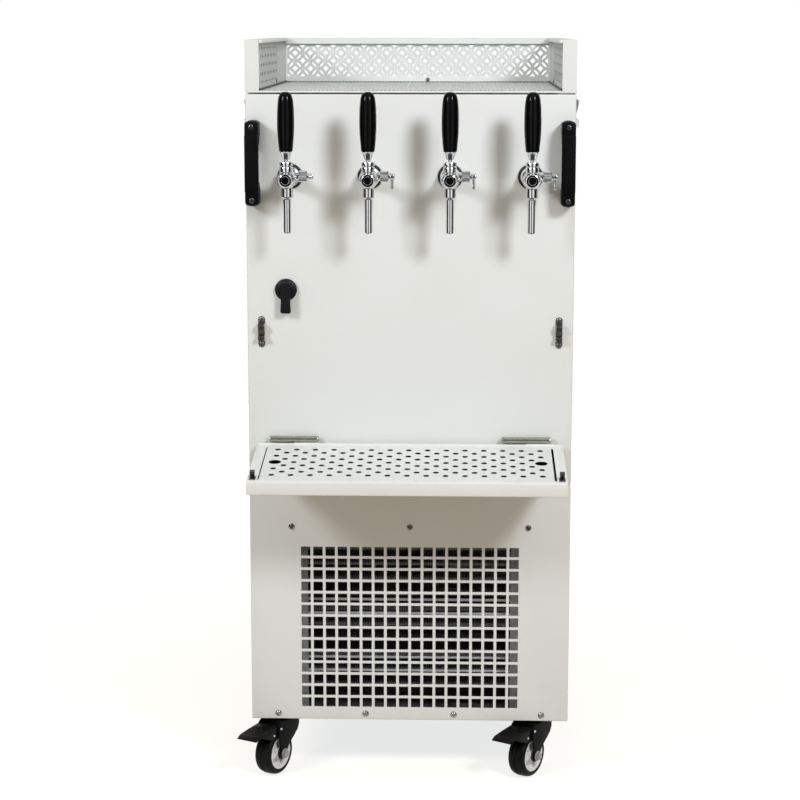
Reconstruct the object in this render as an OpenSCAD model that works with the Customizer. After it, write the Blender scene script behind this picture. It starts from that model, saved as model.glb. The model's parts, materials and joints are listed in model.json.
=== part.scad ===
// Draft beer dispenser on casters: keg cabinet with four taps on the door,
// fold-down drip tray, hinged top deck with a glass gallery. Millimetres, +Z up,
// front towards -Y, floor at z = 0.

/* [Cabinet] */
// overall width of the cabinet
cabinet_width = 560; // [540:1:600]
// door face to rear panel
cabinet_depth = 560; // [540:1:620]
// underside of the base to the top of the door
body_height = 1101; // [1090:1:1140]
// floor to the underside of the base
caster_height = 106; // [104:1:112]
// height of the machine compartment below the door
machine_height = 430; // [424:1:440]
// sheet steel thickness
sheet = 1.5; // [1.2:0.1:2]
// thickness of the insulated chamber walls
wall_insulation = 30; // [24:1:34]

/* [Door and taps] */
// thickness of the insulated door
door_thickness = 42; // [40:1:46]
// space between two neighbouring taps
tap_pitch = 136; // [130:1:142]
// top of the door down to the tap axis
tap_drop = 139; // [134:1:150]
// length of the tap grip
grip_length = 98; // [90:1:110]
// height of the pull handles
pull_length = 144; // [130:1:156]

/* [Drip tray] */
// width of the tray
tray_width = 530; // [516:1:538]
// front to back size of the tray
tray_length = 200; // [194:1:206]
// fall of the tray towards the front
tray_slope = 6.6; // [4:0.2:7]
// holes in the odd rows of the grid
grid_holes = 15; // [13:2:15]
// diameter of a grid hole
grid_hole = 10; // [8:0.5:11]

/* [Service grille] */
// grille columns
grille_columns = 18; // [14:1:18]
// grille rows
grille_rows = 14; // [10:1:14]
// side of a grille hole
grille_hole = 16.5; // [13:0.5:17]

/* [Gallery] */
// height of the gallery above the door
gallery_height = 90; // [88:1:100]
// radius of the lattice circles
lattice_radius = 15; // [15:1:15]
// width of the lattice strips
lattice_strip = 4; // [3:0.2:5]

/* [Casters] */
// wheel diameter
wheel_diameter = 80; // [76:1:82]
// angle of the left front caster about its kingpin
left_turn = -29.5; // [-60:0.5:60]
// angle of the right front caster about its kingpin
right_turn = -33.5; // [-60:0.5:60]

/* [Hidden] */
$fn = 64;
fit = 0.3;
seat = 0.05;
half_w = cabinet_width / 2;
door_gap = 3;
hinge_stand = 8;
tray_edge = 5.5;
rear_out = 13.5;
tray_out = hinge_stand + (tray_edge + tray_length) * cos(tray_slope) - 1;
front_y = (tray_out - cabinet_depth - rear_out) / 2;
rear_y = front_y + cabinet_depth;
base_z = caster_height;
top_z = base_z + body_height;
door_z = base_z + machine_height;
door_top = top_z - 0.8;
door_back = front_y + door_thickness;
body_y = door_back + door_gap;
low_y = front_y + 26;
inner_x = half_w - sheet;
chamber_x = inner_x - wall_insulation;
deck_z = door_z - 5.4;
floor_z = door_z - 3.4;
pivot_x = half_w - 10;
pivot_y = front_y + 14;
tap_z = top_z - tap_drop;
tap_xs = [for (i = [0:3]) (i - 1.5) * tap_pitch];
neck_y = -88;
spout_y = -72;
lever_z = 22;
valve_y = -62;
valve_z = 4.2;
latch_x = -half_w + 67;
latch_z = (door_z + top_z) / 2 + 2.5;
hinge_x = 201;
axis_y = front_y - hinge_stand;
axis_z = door_z + 78.5;
catch_x = half_w - 24.5;
catch_u = 186.5;
strike_x = catch_x;
rim_z = -9;
tray_floor = -33;
pan = 1.5;
window_w = tray_width - 36;
window_l = tray_length - 24;
end_slot = 2.9;
grid_shift = -0.9;
lid_z = top_z + 1.5;
plate_z = top_z + 5;
rail_z = top_z + gallery_height;
wall_x = half_w - 24;
lid_axis_y = rear_y + 7;
lid_axis_z = top_z + 1.2;
toggle_y = front_y + 82;
toggle_z = top_z - 52;
king_x = half_w - 53;
king_front = front_y + 46;
king_rear = rear_y - 72;
wheel_r = wheel_diameter / 2;
trail = 34;
axle_z = wheel_r;
pedal_y = -trail - 9;
pedal_z = base_z - 18;
fan_z = base_z + 165;
fan_y = front_y + 150;
core_y = front_y + 62;

// shared shapes

module xcyl(r, x0, x1) {
  translate([x0, 0, 0]) rotate([0, 90, 0]) cylinder(r = r, h = x1 - x0);
}

module ycyl(r, y0, y1) {
  translate([0, y0, 0]) rotate([-90, 0, 0]) cylinder(r = r, h = y1 - y0);
}

module block(x0, x1, y0, y1, z0, z1) {
  translate([x0, y0, z0]) cube([x1 - x0, y1 - y0, z1 - z0]);
}

// outline drawn in (y, z), thickness from x0 to x1
module side_plate(x0, x1) {
  translate([x0, 0, 0]) rotate([90, 0, 90]) linear_extrude(height = x1 - x0) children();
}

// outline drawn in (x, z), thickness from y0 to y1
module face_plate(y0, y1) {
  translate([0, y1, 0]) rotate([90, 0, 0]) linear_extrude(height = y1 - y0) children();
}

module both_sides() {
  children();
  mirror([1, 0, 0]) children();
}

module at_taps() {
  for (x = tap_xs) translate([x, front_y, tap_z]) children();
}

// cabinet

module base_pan() {
  color("silver") {
    difference() {
      block(-inner_x, inner_x, low_y, rear_y - sheet, base_z, base_z + 25);
      block(-inner_x + 2, inner_x - 2, low_y - 1, rear_y, base_z + 2.5, base_z + 26);
    }
  }
}

module side_sheet() {
  side_plate(inner_x, half_w)
    polygon([[low_y, base_z], [rear_y, base_z], [rear_y, top_z], [body_y, top_z],
             [body_y, door_z - 1.5], [low_y, door_z - 1.5]]);
}

module side_panels() {
  color("ivory") both_sides() side_sheet();
}

module rear_panel() {
  color("ivory")
    difference() {
      block(-inner_x, inner_x, rear_y - sheet, rear_y, base_z, top_z);
      for (i = [0:8], side = [-1, 1])
        block(side * 110 - 70, side * 110 + 70, rear_y - 5, rear_y + 5,
              base_z + 150 + i * 22, base_z + 158 + i * 22);
      translate([-180, rear_y, base_z + 80]) ycyl(13, -5, 5);
      translate([180, rear_y, door_z + 120]) ycyl(9, -5, 5);
    }
}

module grille_outline() {
  pitch_x = 365 / (grille_columns - 1);
  pitch_z = 275 / (grille_rows - 1);
  difference() {
    translate([-half_w, base_z]) square([cabinet_width, machine_height - 4]);
    for (i = [0:grille_columns - 1], j = [0:grille_rows - 1])
      translate([-182.5 + i * pitch_x - grille_hole / 2,
                 base_z + 31.5 + j * pitch_z - grille_hole / 2])
        square(grille_hole);
    for (x = [-207, 0, 207]) translate([x, base_z + 351]) circle(r = 2.4);
    for (x = [-233, -78, 78, 233]) translate([x, base_z + 11]) circle(r = 2.4);
  }
}

module service_panel() {
  color("ivory") {
    face_plate(front_y, front_y + sheet) grille_outline();
    difference() {
      block(-half_w, half_w, front_y + sheet, low_y, base_z, door_z - 4);
      block(-inner_x, inner_x, front_y, low_y + 1, base_z + sheet, door_z - 4 - sheet);
    }
  }
}

module dome_screw() {
  ycyl(2, 0, 9);
  difference() {
    translate([0, 4.2, 0]) sphere(r = 7);
    block(-9, 9, 0, 14, -9, 9);
  }
}

module panel_screws() {
  color("dimgray") {
    for (x = [-207, 0, 207]) translate([x, front_y, base_z + 351]) dome_screw();
    for (x = [-233, -78, 78, 233]) translate([x, front_y, base_z + 11]) dome_screw();
  }
}

module machine_deck() {
  color("silver") block(-inner_x, inner_x, low_y, rear_y - sheet, deck_z, floor_z);
}

module chamber_liner() {
  color("whitesmoke") {
    wall_z = floor_z + wall_insulation + seat;
    block(-inner_x, inner_x, body_y, rear_y - sheet, floor_z, floor_z + wall_insulation);
    both_sides() block(chamber_x, inner_x, body_y, rear_y - sheet, wall_z, top_z);
    difference() {
      block(-chamber_x + seat, chamber_x - seat, rear_y - sheet - wall_insulation,
            rear_y - sheet, wall_z, top_z);
      translate([180, rear_y, door_z + 120]) ycyl(9, -60, 5);
    }
    block(-chamber_x + seat, -chamber_x + 12, body_y + 1, body_y + 5, latch_z - 20, latch_z + 20);
  }
}

module evaporator() {
  plate_y = rear_y - sheet - wall_insulation;
  color("lightgray") {
    block(-190, 190, plate_y - 9, plate_y - 6, door_z + 190, door_z + 560);
    for (i = [0:7]) translate([0, plate_y - 7.5, door_z + 215 + i * 45]) xcyl(4.5, -180, 180);
    for (x = [-150, 150], z = [210, 540])
      translate([x, plate_y, door_z + z]) ycyl(5, -6, 0);
  }
}

module compressor() {
  color("black") translate([110, rear_y - 150, base_z + 2.5]) {
    rotate_extrude()
      polygon([[0, 18], [70, 18], [80, 32], [80, 118], [70, 150], [46, 168], [0, 174]]);
    for (x = [-82, 82], y = [-62, 62]) translate([x, y, 0]) cylinder(r = 11, h = 18);
    block(-96, 96, -74, 74, 14, 20);
  }
}

module condenser() {
  core_x = 199;
  color("dimgray") {
    block(-core_x, core_x, core_y, core_y + 44, base_z + 26, base_z + 318);
    both_sides() block(core_x, core_x + 2, core_y - 6, core_y + 50, base_z + 2.5, base_z + 330);
    for (i = [0:9], j = [0, 1])
      translate([0, core_y + 12 + j * 20, base_z + 44 + i * 28]) xcyl(4.8, -core_x - 9, core_x + 9);
    for (i = [0:2:8], side = [-1, 1])
      translate([side * (core_x + 6), core_y + 12, base_z + 44 + i * 28])
        cylinder(r = 3, h = 28);
  }
}

module fan_motor() {
  color("gray") {
    translate([0, fan_y, fan_z]) ycyl(32, 0, 58);
    block(-9, 9, fan_y + 12, fan_y + 40, base_z + 2.5, fan_z - 20);
    block(-45, 45, fan_y + 8, fan_y + 44, base_z + 2.5, base_z + 5.5);
    translate([0, fan_y, fan_z]) ycyl(4, -26, 1);
  }
}

module fan_blade() {
  color("silver") translate([0, fan_y, fan_z]) {
    difference() {
      ycyl(21, -26, -4);
      ycyl(4.05, -27, -3);
    }
    for (a = [0:72:288]) rotate([0, a, 0])
      translate([0, -15, 0]) rotate([0, 0, 28]) block(-24, 24, -1, 1, 18, 108);
  }
}

module door_pivots() {
  color("silver") {
    block(half_w - 34, inner_x - 0.2, front_y + 4, body_y - 0.5, floor_z, floor_z + 2.5);
    translate([pivot_x, pivot_y, floor_z]) cylinder(r = 4, h = 26);
    block(half_w - 32, half_w - 1, front_y + 4, body_y + 40, top_z, top_z + 1.2);
    translate([pivot_x, pivot_y, top_z - 24]) cylinder(r = 4, h = 24.5);
  }
}

module rear_inlets() {
  color("gray") {
    translate([-180, rear_y, base_z + 80]) {
      difference() {
        union() {
          ycyl(12.5, -22, 8);
          ycyl(18, 0, 4);
        }
        ycyl(5, -23, 9);
      }
    }
    translate([180, rear_y, door_z + 120]) {
      difference() {
        union() {
          ycyl(8.5, -44, 4);
          ycyl(14, 0, 3);
          ycyl(5, 0, 13);
        }
        ycyl(3, -45, 14);
      }
    }
  }
}

// door and taps

module door_cuts(extra) {
  at_taps() ycyl(11 + extra, -30, 90);
  translate([latch_x, front_y, latch_z]) ycyl(10 + extra, -5, 90);
}

module door_panel() {
  color("ivory")
    difference() {
      block(-half_w, half_w, front_y, door_back - 1.5, door_z, door_top);
      block(-inner_x, inner_x, front_y + sheet, door_back, door_z + sheet, door_top - sheet);
      door_cuts(0.2);
      translate([pivot_x, pivot_y, door_z - 2]) cylinder(r = 5, h = body_height);
    }
}

module door_liner() {
  color("whitesmoke")
    difference() {
      union() {
        block(-inner_x, inner_x, front_y + sheet, door_back, door_z + sheet, door_top - sheet);
        difference() {
          block(-half_w + 14, half_w - 14, door_back, door_back + 2.4, door_z + 14, door_top - 10);
          block(-half_w + 26, half_w - 26, door_back - 1, door_back + 4, door_z + 26,
                door_top - 22);
        }
      }
      door_cuts(0.2);
      translate([pivot_x, pivot_y, door_z - 2]) cylinder(r = 4.06, h = 32);
      translate([pivot_x, pivot_y, door_top - 30]) cylinder(r = 4.06, h = 32);
    }
}

module tap_shanks() {
  color("silver") at_taps() {
    difference() {
      union() {
        ycyl(11, -9, door_thickness + 34);
        ycyl(17, -8.5, -4);
        ycyl(6.5, door_thickness + 34, door_thickness + 58);
      }
      ycyl(4, -10, door_thickness + 60);
    }
    difference() {
      translate([0, door_thickness, 0]) rotate([-90, 0, 0]) cylinder(r = 19.5, h = 10, $fn = 6);
      ycyl(11 + seat, door_thickness - 1, door_thickness + 11);
    }
  }
}

module shank_flanges() {
  color("black") at_taps()
    difference() {
      ycyl(21.5, -4, 0);
      ycyl(11 + seat, -5, 1);
    }
}

module tap_body() {
  difference() {
    union() {
      ycyl(10.4, -106, -20);
      translate([0, -24, 0]) rotate([-90, 0, 0]) cylinder(r = 15.5, h = 15, $fn = 12);
      translate([0, -80, 0]) sphere(r = 16);
      translate([0, neck_y, 0]) cylinder(r = 9.6, h = lever_z + 4);
      translate([0, neck_y, lever_z + 1]) cylinder(r = 11.3, h = 6.6);
      translate([0, spout_y, -22]) cylinder(r = 6.5, h = 22);
      translate([0, valve_y, valve_z]) xcyl(7.5, 4, 20);
      translate([0, valve_y, valve_z]) xcyl(9.6, 19, 33);
    }
    ycyl(9.2, -107, -100);
    ycyl(4.5, -84, -8);
    translate([0, neck_y, 12]) cylinder(r = 6.6, h = 20);
    translate([0, neck_y, lever_z + 4]) cylinder(r = 9, h = 5);
    translate([0, neck_y, lever_z]) xcyl(2.05, -12, 12);
    translate([0, spout_y, -23]) cylinder(r = 4, h = 24);
    translate([0, valve_y, valve_z]) xcyl(4.06, 24, 34);
  }
}

module tap_bodies() {
  color("silver") at_taps() tap_body();
}

module tap_caps() {
  color("black") at_taps()
    translate([0, -100, 0]) rotate([90, 0, 0])
      rotate_extrude() polygon([[0, 0], [9.2, 0], [9.2, 6], [7.6, 7.4], [0, 8]]);
}

module tap_spouts() {
  color("silver") at_taps() translate([0, spout_y, 0])
    difference() {
      union() {
        translate([0, 0, -32]) cylinder(r = 9.6, h = 17);
        translate([0, 0, -90]) cylinder(r = 6.6, h = 63);
      }
      translate([0, 0, -91]) cylinder(r = 4, h = 73);
      translate([0, 0, -22]) cylinder(r = 6.5 + seat, h = 9);
      translate([0, -80 - spout_y, 0]) sphere(r = 16 + seat);
    }
}

module tap_handle(i) {
  s = grip_length / 98;
  translate([tap_xs[i], front_y + neck_y, tap_z]) {
    color("silver") {
      translate([0, 0, lever_z]) sphere(r = 5.8);
      translate([0, 0, lever_z]) xcyl(2, -8.4, 8.4);
      translate([0, 0, lever_z]) cylinder(r = 3.5, h = 14);
      rotate_extrude()
        polygon([[0, 34.5], [6.4, 34.5], [6.8, 37], [9.4, 46], [9.4, 47], [4, 47], [4, 70], [0, 70]]);
    }
    color("black") translate([0, 0, 47 + seat])
      rotate_extrude()
        polygon([[4 + seat, 0], [11.1, 0], [11.6, 3 * s], [13, 18 * s], [14, 35 * s],
                 [14.3, 48 * s], [14.1, 63 * s], [13.6, 76 * s], [12.6, 86 * s], [11.2, 92 * s],
                 [8.7, 96 * s], [4.9, 97.6 * s], [0, 98 * s], [0, 24], [4 + seat, 24]]);
  }
}

module tap_handle_1() { tap_handle(0); }
module tap_handle_2() { tap_handle(1); }
module tap_handle_3() { tap_handle(2); }
module tap_handle_4() { tap_handle(3); }

// turn: 0 hangs down, 90 points to the front
module flow_lever(i, turn) {
  color("silver") translate([tap_xs[i], front_y + valve_y, tap_z + valve_z]) rotate([-turn, 0, 0]) {
    xcyl(4, 25, 44);
    xcyl(5.6, 35, 42.5);
    side_plate(36, 42) polygon([[-2.6, 0], [2.6, 0], [3.9, -17], [-3.9, -17]]);
    translate([0, 0, -18]) xcyl(4.2, 36, 42);
  }
}

module flow_lever_1() { flow_lever(0, 90); }
module flow_lever_2() { flow_lever(1, 0); }
module flow_lever_3() { flow_lever(2, 0); }
module flow_lever_4() { flow_lever(3, 0); }

module pull_profile() {
  difference() {
    union() {
      square([33, pull_length]);
      translate([0, 10]) square([43, pull_length - 20]);
      translate([33, 10]) circle(r = 10);
      translate([33, pull_length - 10]) circle(r = 10);
    }
    translate([-1, 32]) square([27, pull_length - 64]);
    translate([-1, 26]) square([21, pull_length - 52]);
    translate([20, 32]) circle(r = 6);
    translate([20, pull_length - 32]) circle(r = 6);
  }
}

module pull_handles() {
  color("black") both_sides()
    translate([half_w - 25, front_y, top_z - 44 - pull_length])
      rotate([90, 0, -90]) translate([0, 0, -23]) linear_extrude(height = 23) pull_profile();
}

module latch_base() {
  color("black") translate([latch_x, front_y, latch_z])
    difference() {
      union() {
        ycyl(19, -8, 0);
        ycyl(10, 0, door_thickness + 2);
      }
      ycyl(6.06, -9, door_thickness + 3);
    }
}

module latch_lever() {
  color("black") translate([latch_x, front_y, latch_z]) {
    ycyl(6, -12, door_thickness + 9);
    ycyl(13, -12, -8.4);
    face_plate(-18, -9)
      polygon([[-7, 14], [7, 14], [8.2, 12], [8, -18], [9, -37.5], [7.6, -39.4], [-7.6, -39.4],
               [-9, -37.5], [-8, -18], [-8.2, 12]]);
  }
}

module latch_cam() {
  color("silver") translate([latch_x, front_y, latch_z])
    union() {
      block(-8, 8, door_thickness + 9, door_thickness + 12, -28, 8);
      ycyl(5, door_thickness + 11, door_thickness + 15);
    }
}

module roller_catch() {
  block(-4.6, 4.6, -2, 0, -18, 18);
  for (z = [-21.3, 21.3]) translate([0, 0, z]) ycyl(6.2, -2, 0);
  for (x = [-4.6, 3.4]) block(x, x + 1.2, -15, -1.5, -15.5, 15.5);
  for (z = [-9.8, 9.8]) translate([0, -10, z]) xcyl(4.6, -3.6, 3.6);
}

module roller_catches() {
  color("gray") for (x = [-catch_x, catch_x])
    translate([x, front_y, axis_z + catch_u]) roller_catch();
}

// tray parts are drawn about the hinge axis and then tipped forward

module tray_frame() {
  translate([0, axis_y, axis_z]) rotate([tray_slope, 0, 0]) children();
}

module tray_hinge_fixed() {
  color("silver") for (x = [-hinge_x - 43, hinge_x - 43]) translate([x, axis_y, axis_z]) {
    xcyl(5.5, 0, 42.7);
    xcyl(3, 40, 84);
    block(0, 42.7, 0, hinge_stand, -2, 2);
    block(0, 42.7, hinge_stand - 2, hinge_stand, -34, 0);
  }
}

module tray_hinge_moving() {
  color("silver") tray_frame()
    for (x = [-hinge_x + 0.3, hinge_x + 0.3]) translate([x, 0, 0])
      difference() {
        union() {
          xcyl(5.5, 0, 42.7);
          block(0, 42.7, -5.5, -3.5, -28, 0);
        }
        xcyl(3.05, -1, 44);
      }
}

module drip_tray() {
  back = -tray_edge;
  front = -tray_edge - tray_length;
  h = tray_width / 2;
  color("ivory") tray_frame()
    difference() {
      block(-h, h, front, back, tray_floor, rim_z);
      block(-h + pan, h - pan, front + pan, back - pan, tray_floor + pan, rim_z - pan);
      block(-window_w / 2, window_w / 2, front + 12, front + 12 + window_l, rim_z - 5, rim_z + 5);
      translate([0, front + 100, tray_floor - 5]) cylinder(r = 8 + seat, h = 10);
    }
}

module grid_outline() {
  pitch = (window_w - 44) / (grid_holes - 1);
  front = -tray_edge - tray_length + 12 + fit;
  mid = front + window_l / 2 + 5;
  step = (window_l - 39) / 8;
  difference() {
    translate([-window_w / 2 + end_slot, front])
      square([window_w - 2 * end_slot, window_l - 2 * fit]);
    for (row = [-4:4]) {
      odd = abs(row) % 2;
      count = odd ? grid_holes - 1 : grid_holes;
      for (i = [0:count - 1])
        if (row != 0 || (i > 0 && i < count - 1))
          translate([(i - (count - 1) / 2) * pitch, mid + row * step]) circle(d = grid_hole);
    }
    for (side = [-1, 1])
      translate([side * (grid_holes - 1) / 2 * pitch, mid]) circle(r = 10.5);
  }
}

module drip_grid() {
  front = -tray_edge - tray_length + 12 + fit;
  back = front + window_l - 2 * fit;
  edge = window_w / 2 - end_slot;
  color("ivory") tray_frame() translate([grid_shift, 0, 0]) {
    translate([0, 0, rim_z - 1.4]) linear_extrude(height = 1.2) grid_outline();
    difference() {
      block(-edge, edge, front, back, tray_floor + pan + fit, rim_z - 1.4);
      block(-edge + 1.2, edge - 1.2, front + 1.2, back - 1.2, tray_floor, rim_z);
    }
  }
}

module tray_strikes() {
  color("silver") tray_frame() for (x = [-strike_x, strike_x]) translate([x, -catch_u, rim_z]) {
    block(-6, 6, -9, 9, 0, 1.2);
    block(-2.8, 2.8, -1.4, 1.4, 1, 13.5);
    translate([0, 0, 9.3]) xcyl(4, -2.8, 2.8);
  }
}

module drain_spigot() {
  color("white") tray_frame() translate([0, -tray_edge - tray_length + 100, 0])
    difference() {
      union() {
        translate([0, 0, tray_floor - 30]) cylinder(r = 9, h = 26);
        translate([0, 0, tray_floor - 4]) cylinder(r = 13, h = 4);
        translate([0, 0, tray_floor - 1]) cylinder(r = 8, h = 3);
      }
      translate([0, 0, tray_floor - 31]) cylinder(r = 6, h = 40);
    }
}

// lid with the glass gallery

module deck_ribs() {
  count = floor((2 * wall_x - 14) / 7);
  start = -count * 3.5;
  top = [for (i = [0:count - 1]) each [[start + i * 7, 0.2], [start + i * 7 + 1.2, 1.2],
                                       [start + i * 7 + 3.2, 1.2], [start + i * 7 + 4.4, 0.2]]];
  polygon(concat([[-start, -0.5]], [[start, -0.5]], top, [[-start, 0.2]]));
}

module lid_deck() {
  color("lightgray") {
    difference() {
      block(-half_w, half_w, front_y, rear_y, lid_z, plate_z);
      block(-half_w + 14, half_w - 14, front_y + 14, rear_y - 14, lid_z - 1, plate_z - 2);
    }
    translate([0, 0, plate_z]) face_plate(front_y + 4, rear_y - 14) deck_ribs();
  }
}

// openings of the interlocking circles, window of (columns x rows) radii
module lattice_holes(columns, rows, r = lattice_radius) {
  inner = r - lattice_strip / 2;
  outer = r + lattice_strip / 2;
  for (i = [0:columns - 1], j = [0:rows - 1]) {
    flip = (i + j) % 2;
    a = [i * r, (j + flip) * r];
    b = [(i + 1) * r, (j + 1 - flip) * r];
    intersection() {
      translate(a) circle(r = inner);
      translate(b) circle(r = inner);
    }
  }
  for (i = [0:columns], j = [0:rows])
    if ((i + j) % 2 == 0)
      intersection() {
        square([columns * r, rows * r]);
        difference() {
          translate([i * r - r, j * r - r]) square(2 * r);
          for (dx = [-1, 1], dy = [-1, 1])
            translate([(i + dx) * r, (j + dy) * r]) circle(r = outer);
        }
      }
}

module gallery_back() {
  columns = round((2 * wall_x - 6) / lattice_radius / 2) * 2;
  r = (2 * wall_x - 6) / columns;
  color("ivory") {
    face_plate(rear_y - sheet, rear_y) difference() {
      translate([-wall_x + 0.3, plate_z]) square([2 * wall_x - 0.6, rail_z - plate_z]);
      translate([-columns * r / 2, plate_z + 11.5]) lattice_holes(columns, 4, r);
    }
    block(-wall_x + 0.3, wall_x - 0.3, rear_y - 12, rear_y - sheet, rail_z - sheet, rail_z);
    block(-wall_x + 0.3, wall_x - 0.3, rear_y - 12, rear_y - 12 + sheet, rail_z - 11, rail_z);
  }
}

module gallery_side() {
  x0 = wall_x;
  x1 = half_w;
  color("ivory") {
    side_plate(x0, x0 + sheet) difference() {
      translate([front_y, plate_z]) square([cabinet_depth, rail_z - plate_z]);
      translate([front_y + 26, plate_z + 11.5]) lattice_holes(22, 4);
    }
    block(x0, x1, front_y, rear_y, rail_z - sheet, rail_z);
    block(x1 - sheet, x1, front_y, rear_y, plate_z, rail_z);
    block(x0, x1, front_y, front_y + sheet, plate_z, rail_z);
    block(x0, x1, front_y, rear_y, plate_z, plate_z + sheet);
    block(x0, x1, rear_y - sheet, rear_y, plate_z, rail_z);
  }
}

module gallery_sides() {
  both_sides() gallery_side();
}

module lid_hinge_fixed() {
  color("silver") for (x = [-170, 170]) translate([x, lid_axis_y, lid_axis_z]) {
    xcyl(5.5, -35, -0.2);
    xcyl(3, -2, 34);
    block(-35, -0.2, -7, 0, -5, 0);
    block(-35, -0.2, -7, -5, -40, 0);
  }
}

module lid_hinge_moving() {
  color("silver") for (x = [-170, 170]) translate([x, lid_axis_y, lid_axis_z])
    difference() {
      union() {
        xcyl(5.5, 0.2, 35);
        block(0.2, 35, -5, 0, 1.5, 5);
        block(0.2, 35, -7, -5, 1.5, 13.5);
      }
      xcyl(3.05, -1, 36);
    }
}

module toggle_bases() {
  color("silver") both_sides() translate([half_w, toggle_y, toggle_z]) {
    block(0, 1.5, -14, 14, -12, 34);
    for (y = [-14, 12.5]) block(0, 8, y, y + 1.5, -7, 7);
    translate([5, 0, 0]) ycyl(2, -14, 14);
  }
}

module toggle_lever() {
  color("silver") translate([half_w + 5, toggle_y, toggle_z])
    difference() {
      union() {
        ycyl(3.2, -12, 12);
        side_plate(1.6, 4) polygon([[-7, -3.2], [7, -3.2], [12, 26], [12, 50], [-12, 50], [-12, 26]]);
        block(-1.5, 4, -10, 10, 48, 50);
        block(4, 7, -9, 9, 34, 36);
      }
      ycyl(2.05, -15, 15);
    }
}

module toggle_lever_right() { toggle_lever(); }
module toggle_lever_left() { mirror([1, 0, 0]) toggle_lever(); }

module toggle_keepers() {
  color("silver") both_sides() translate([half_w, toggle_y, plate_z]) {
    block(0, 1.5, -12, 12, -2.5, 16);
    block(0, 4, -12, 12, -2.5, -1);
  }
}

// casters, drawn with the kingpin at the origin and the floor at z = 0

module caster_plate() {
  block(-38, 38, -31, 31, base_z - 3, base_z);
  translate([0, 0, base_z - 10]) cylinder(r = 4, h = 8);
}

module at_king(side, y, turn) {
  translate([side * king_x, y, 0]) rotate([0, 0, turn]) children();
}

module caster_plates() {
  color("black") for (side = [-1, 1]) {
    at_king(side, king_front, 0) caster_plate();
    at_king(side, king_rear, 0) caster_plate();
  }
}

module fork() {
  crown = base_z - 6.4;
  difference() {
    union() {
      translate([0, 0, crown]) cylinder(r = 25, h = 3);
      block(-23, 23, -38, 16, crown - 2, crown);
      block(-20.6, 20.6, -38, -36, crown - 9, crown - 1);
      for (x = [-23, 20.5]) side_plate(x, x + 2.5)
        polygon([[10, crown], [12, crown - 8], [3, crown - 24], [-trail + 15, axle_z + 19.5],
                 [-trail + 8, axle_z + 8.5], [-trail + 8, axle_z - 9], [-trail - 8, axle_z - 9],
                 [-trail - 11, axle_z + 6], [pedal_y - 6, pedal_z - 8], [pedal_y - 6, pedal_z + 6],
                 [-38, crown]]);
    }
    translate([0, 0, crown - 9]) cylinder(r = 4.06, h = 20);
    translate([0, -trail, axle_z]) xcyl(4.4 + seat, -30, 30);
    translate([0, pedal_y, pedal_z]) xcyl(3.05, -30, 30);
  }
  translate([0, -trail, axle_z]) {
    xcyl(4.4, -24, 24);
    translate([23 + seat, 0, 0]) rotate([0, 90, 0]) cylinder(r = 7.5, h = 6, $fn = 6);
    translate([-28 - seat, 0, 0]) rotate([0, 90, 0]) cylinder(r = 7.5, h = 5, $fn = 6);
  }
}

module front_fork_left() { color("black") at_king(-1, king_front, left_turn) fork(); }
module front_fork_right() { color("black") at_king(1, king_front, right_turn) fork(); }
module rear_forks() {
  color("black") for (side = [-1, 1]) at_king(side, king_rear, 180) fork();
}

module wheel() {
  translate([0, -trail, axle_z]) rotate([0, 90, 0]) {
    color("black") rotate_extrude()
      polygon([[29.5 + seat, -15.6], [wheel_r - 6.5, -16.2], [wheel_r - 2.4, -13.6], [wheel_r, -9],
               [wheel_r, -2.2], [wheel_r - 1.8, -0.8], [wheel_r - 1.8, 0.8], [wheel_r, 2.2],
               [wheel_r, 9], [wheel_r - 2.4, 13.6], [wheel_r - 6.5, 16.2], [29.5 + seat, 15.6]]);
    color("lightgray") rotate_extrude()
      polygon([[4.46, -19.6], [11, -19.6], [11, -9], [24, -9], [26, -15.4], [29.5, -15.4],
               [29.5, 15.4], [26, 15.4], [24, 9], [11, 9], [11, 19.6], [4.46, 19.6]]);
  }
}

module front_wheel_left() { at_king(-1, king_front, left_turn) wheel(); }
module front_wheel_right() { at_king(1, king_front, right_turn) wheel(); }
module rear_wheel_left() { at_king(-1, king_rear, 180) wheel(); }
module rear_wheel_right() { at_king(1, king_rear, 180) wheel(); }

// pedal hinged on a cross pin at the front of the fork
module pedal() {
  translate([0, pedal_y, pedal_z]) {
    xcyl(3, -22.8, 22.8);
    xcyl(4, -20, 20);
    block(-20, 20, -12, 0, 0, 5);
    side_plate(-20.5, 20.5)
      polygon([[-10, 2], [-10, 6.5], [-66, 1.5], [-74, -3.5], [-73, -5.5], [-65, -1.5]]);
    for (x = [-20.5, 18.9]) side_plate(x, x + 1.6)
      polygon([[-9, 4], [-63, 0], [-44, -8], [-24, -16], [-12, -15], [-9, -8]]);
  }
}

module brake_pedal_left() { color("black") at_king(-1, king_front, left_turn) pedal(); }
module brake_pedal_right() { color("black") at_king(1, king_front, right_turn) pedal(); }

base_pan();
side_panels();
rear_panel();
service_panel();
machine_deck();
chamber_liner();
evaporator();
compressor();
condenser();
fan_motor();
panel_screws();
door_pivots();
toggle_bases();
lid_hinge_fixed();
rear_inlets();
caster_plates();
rear_forks();
door_panel();
door_liner();
tap_shanks();
shank_flanges();
tap_bodies();
tap_caps();
tap_spouts();
pull_handles();
latch_base();
roller_catches();
tray_hinge_fixed();
latch_lever();
latch_cam();
drip_tray();
tray_hinge_moving();
tray_strikes();
drain_spigot();
drip_grid();
tap_handle_1();
tap_handle_2();
tap_handle_3();
tap_handle_4();
flow_lever_1();
flow_lever_2();
flow_lever_3();
flow_lever_4();
lid_deck();
gallery_back();
gallery_sides();
toggle_keepers();
lid_hinge_moving();
toggle_lever_left();
toggle_lever_right();
fan_blade();
front_fork_left();
front_fork_right();
brake_pedal_left();
brake_pedal_right();
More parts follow.
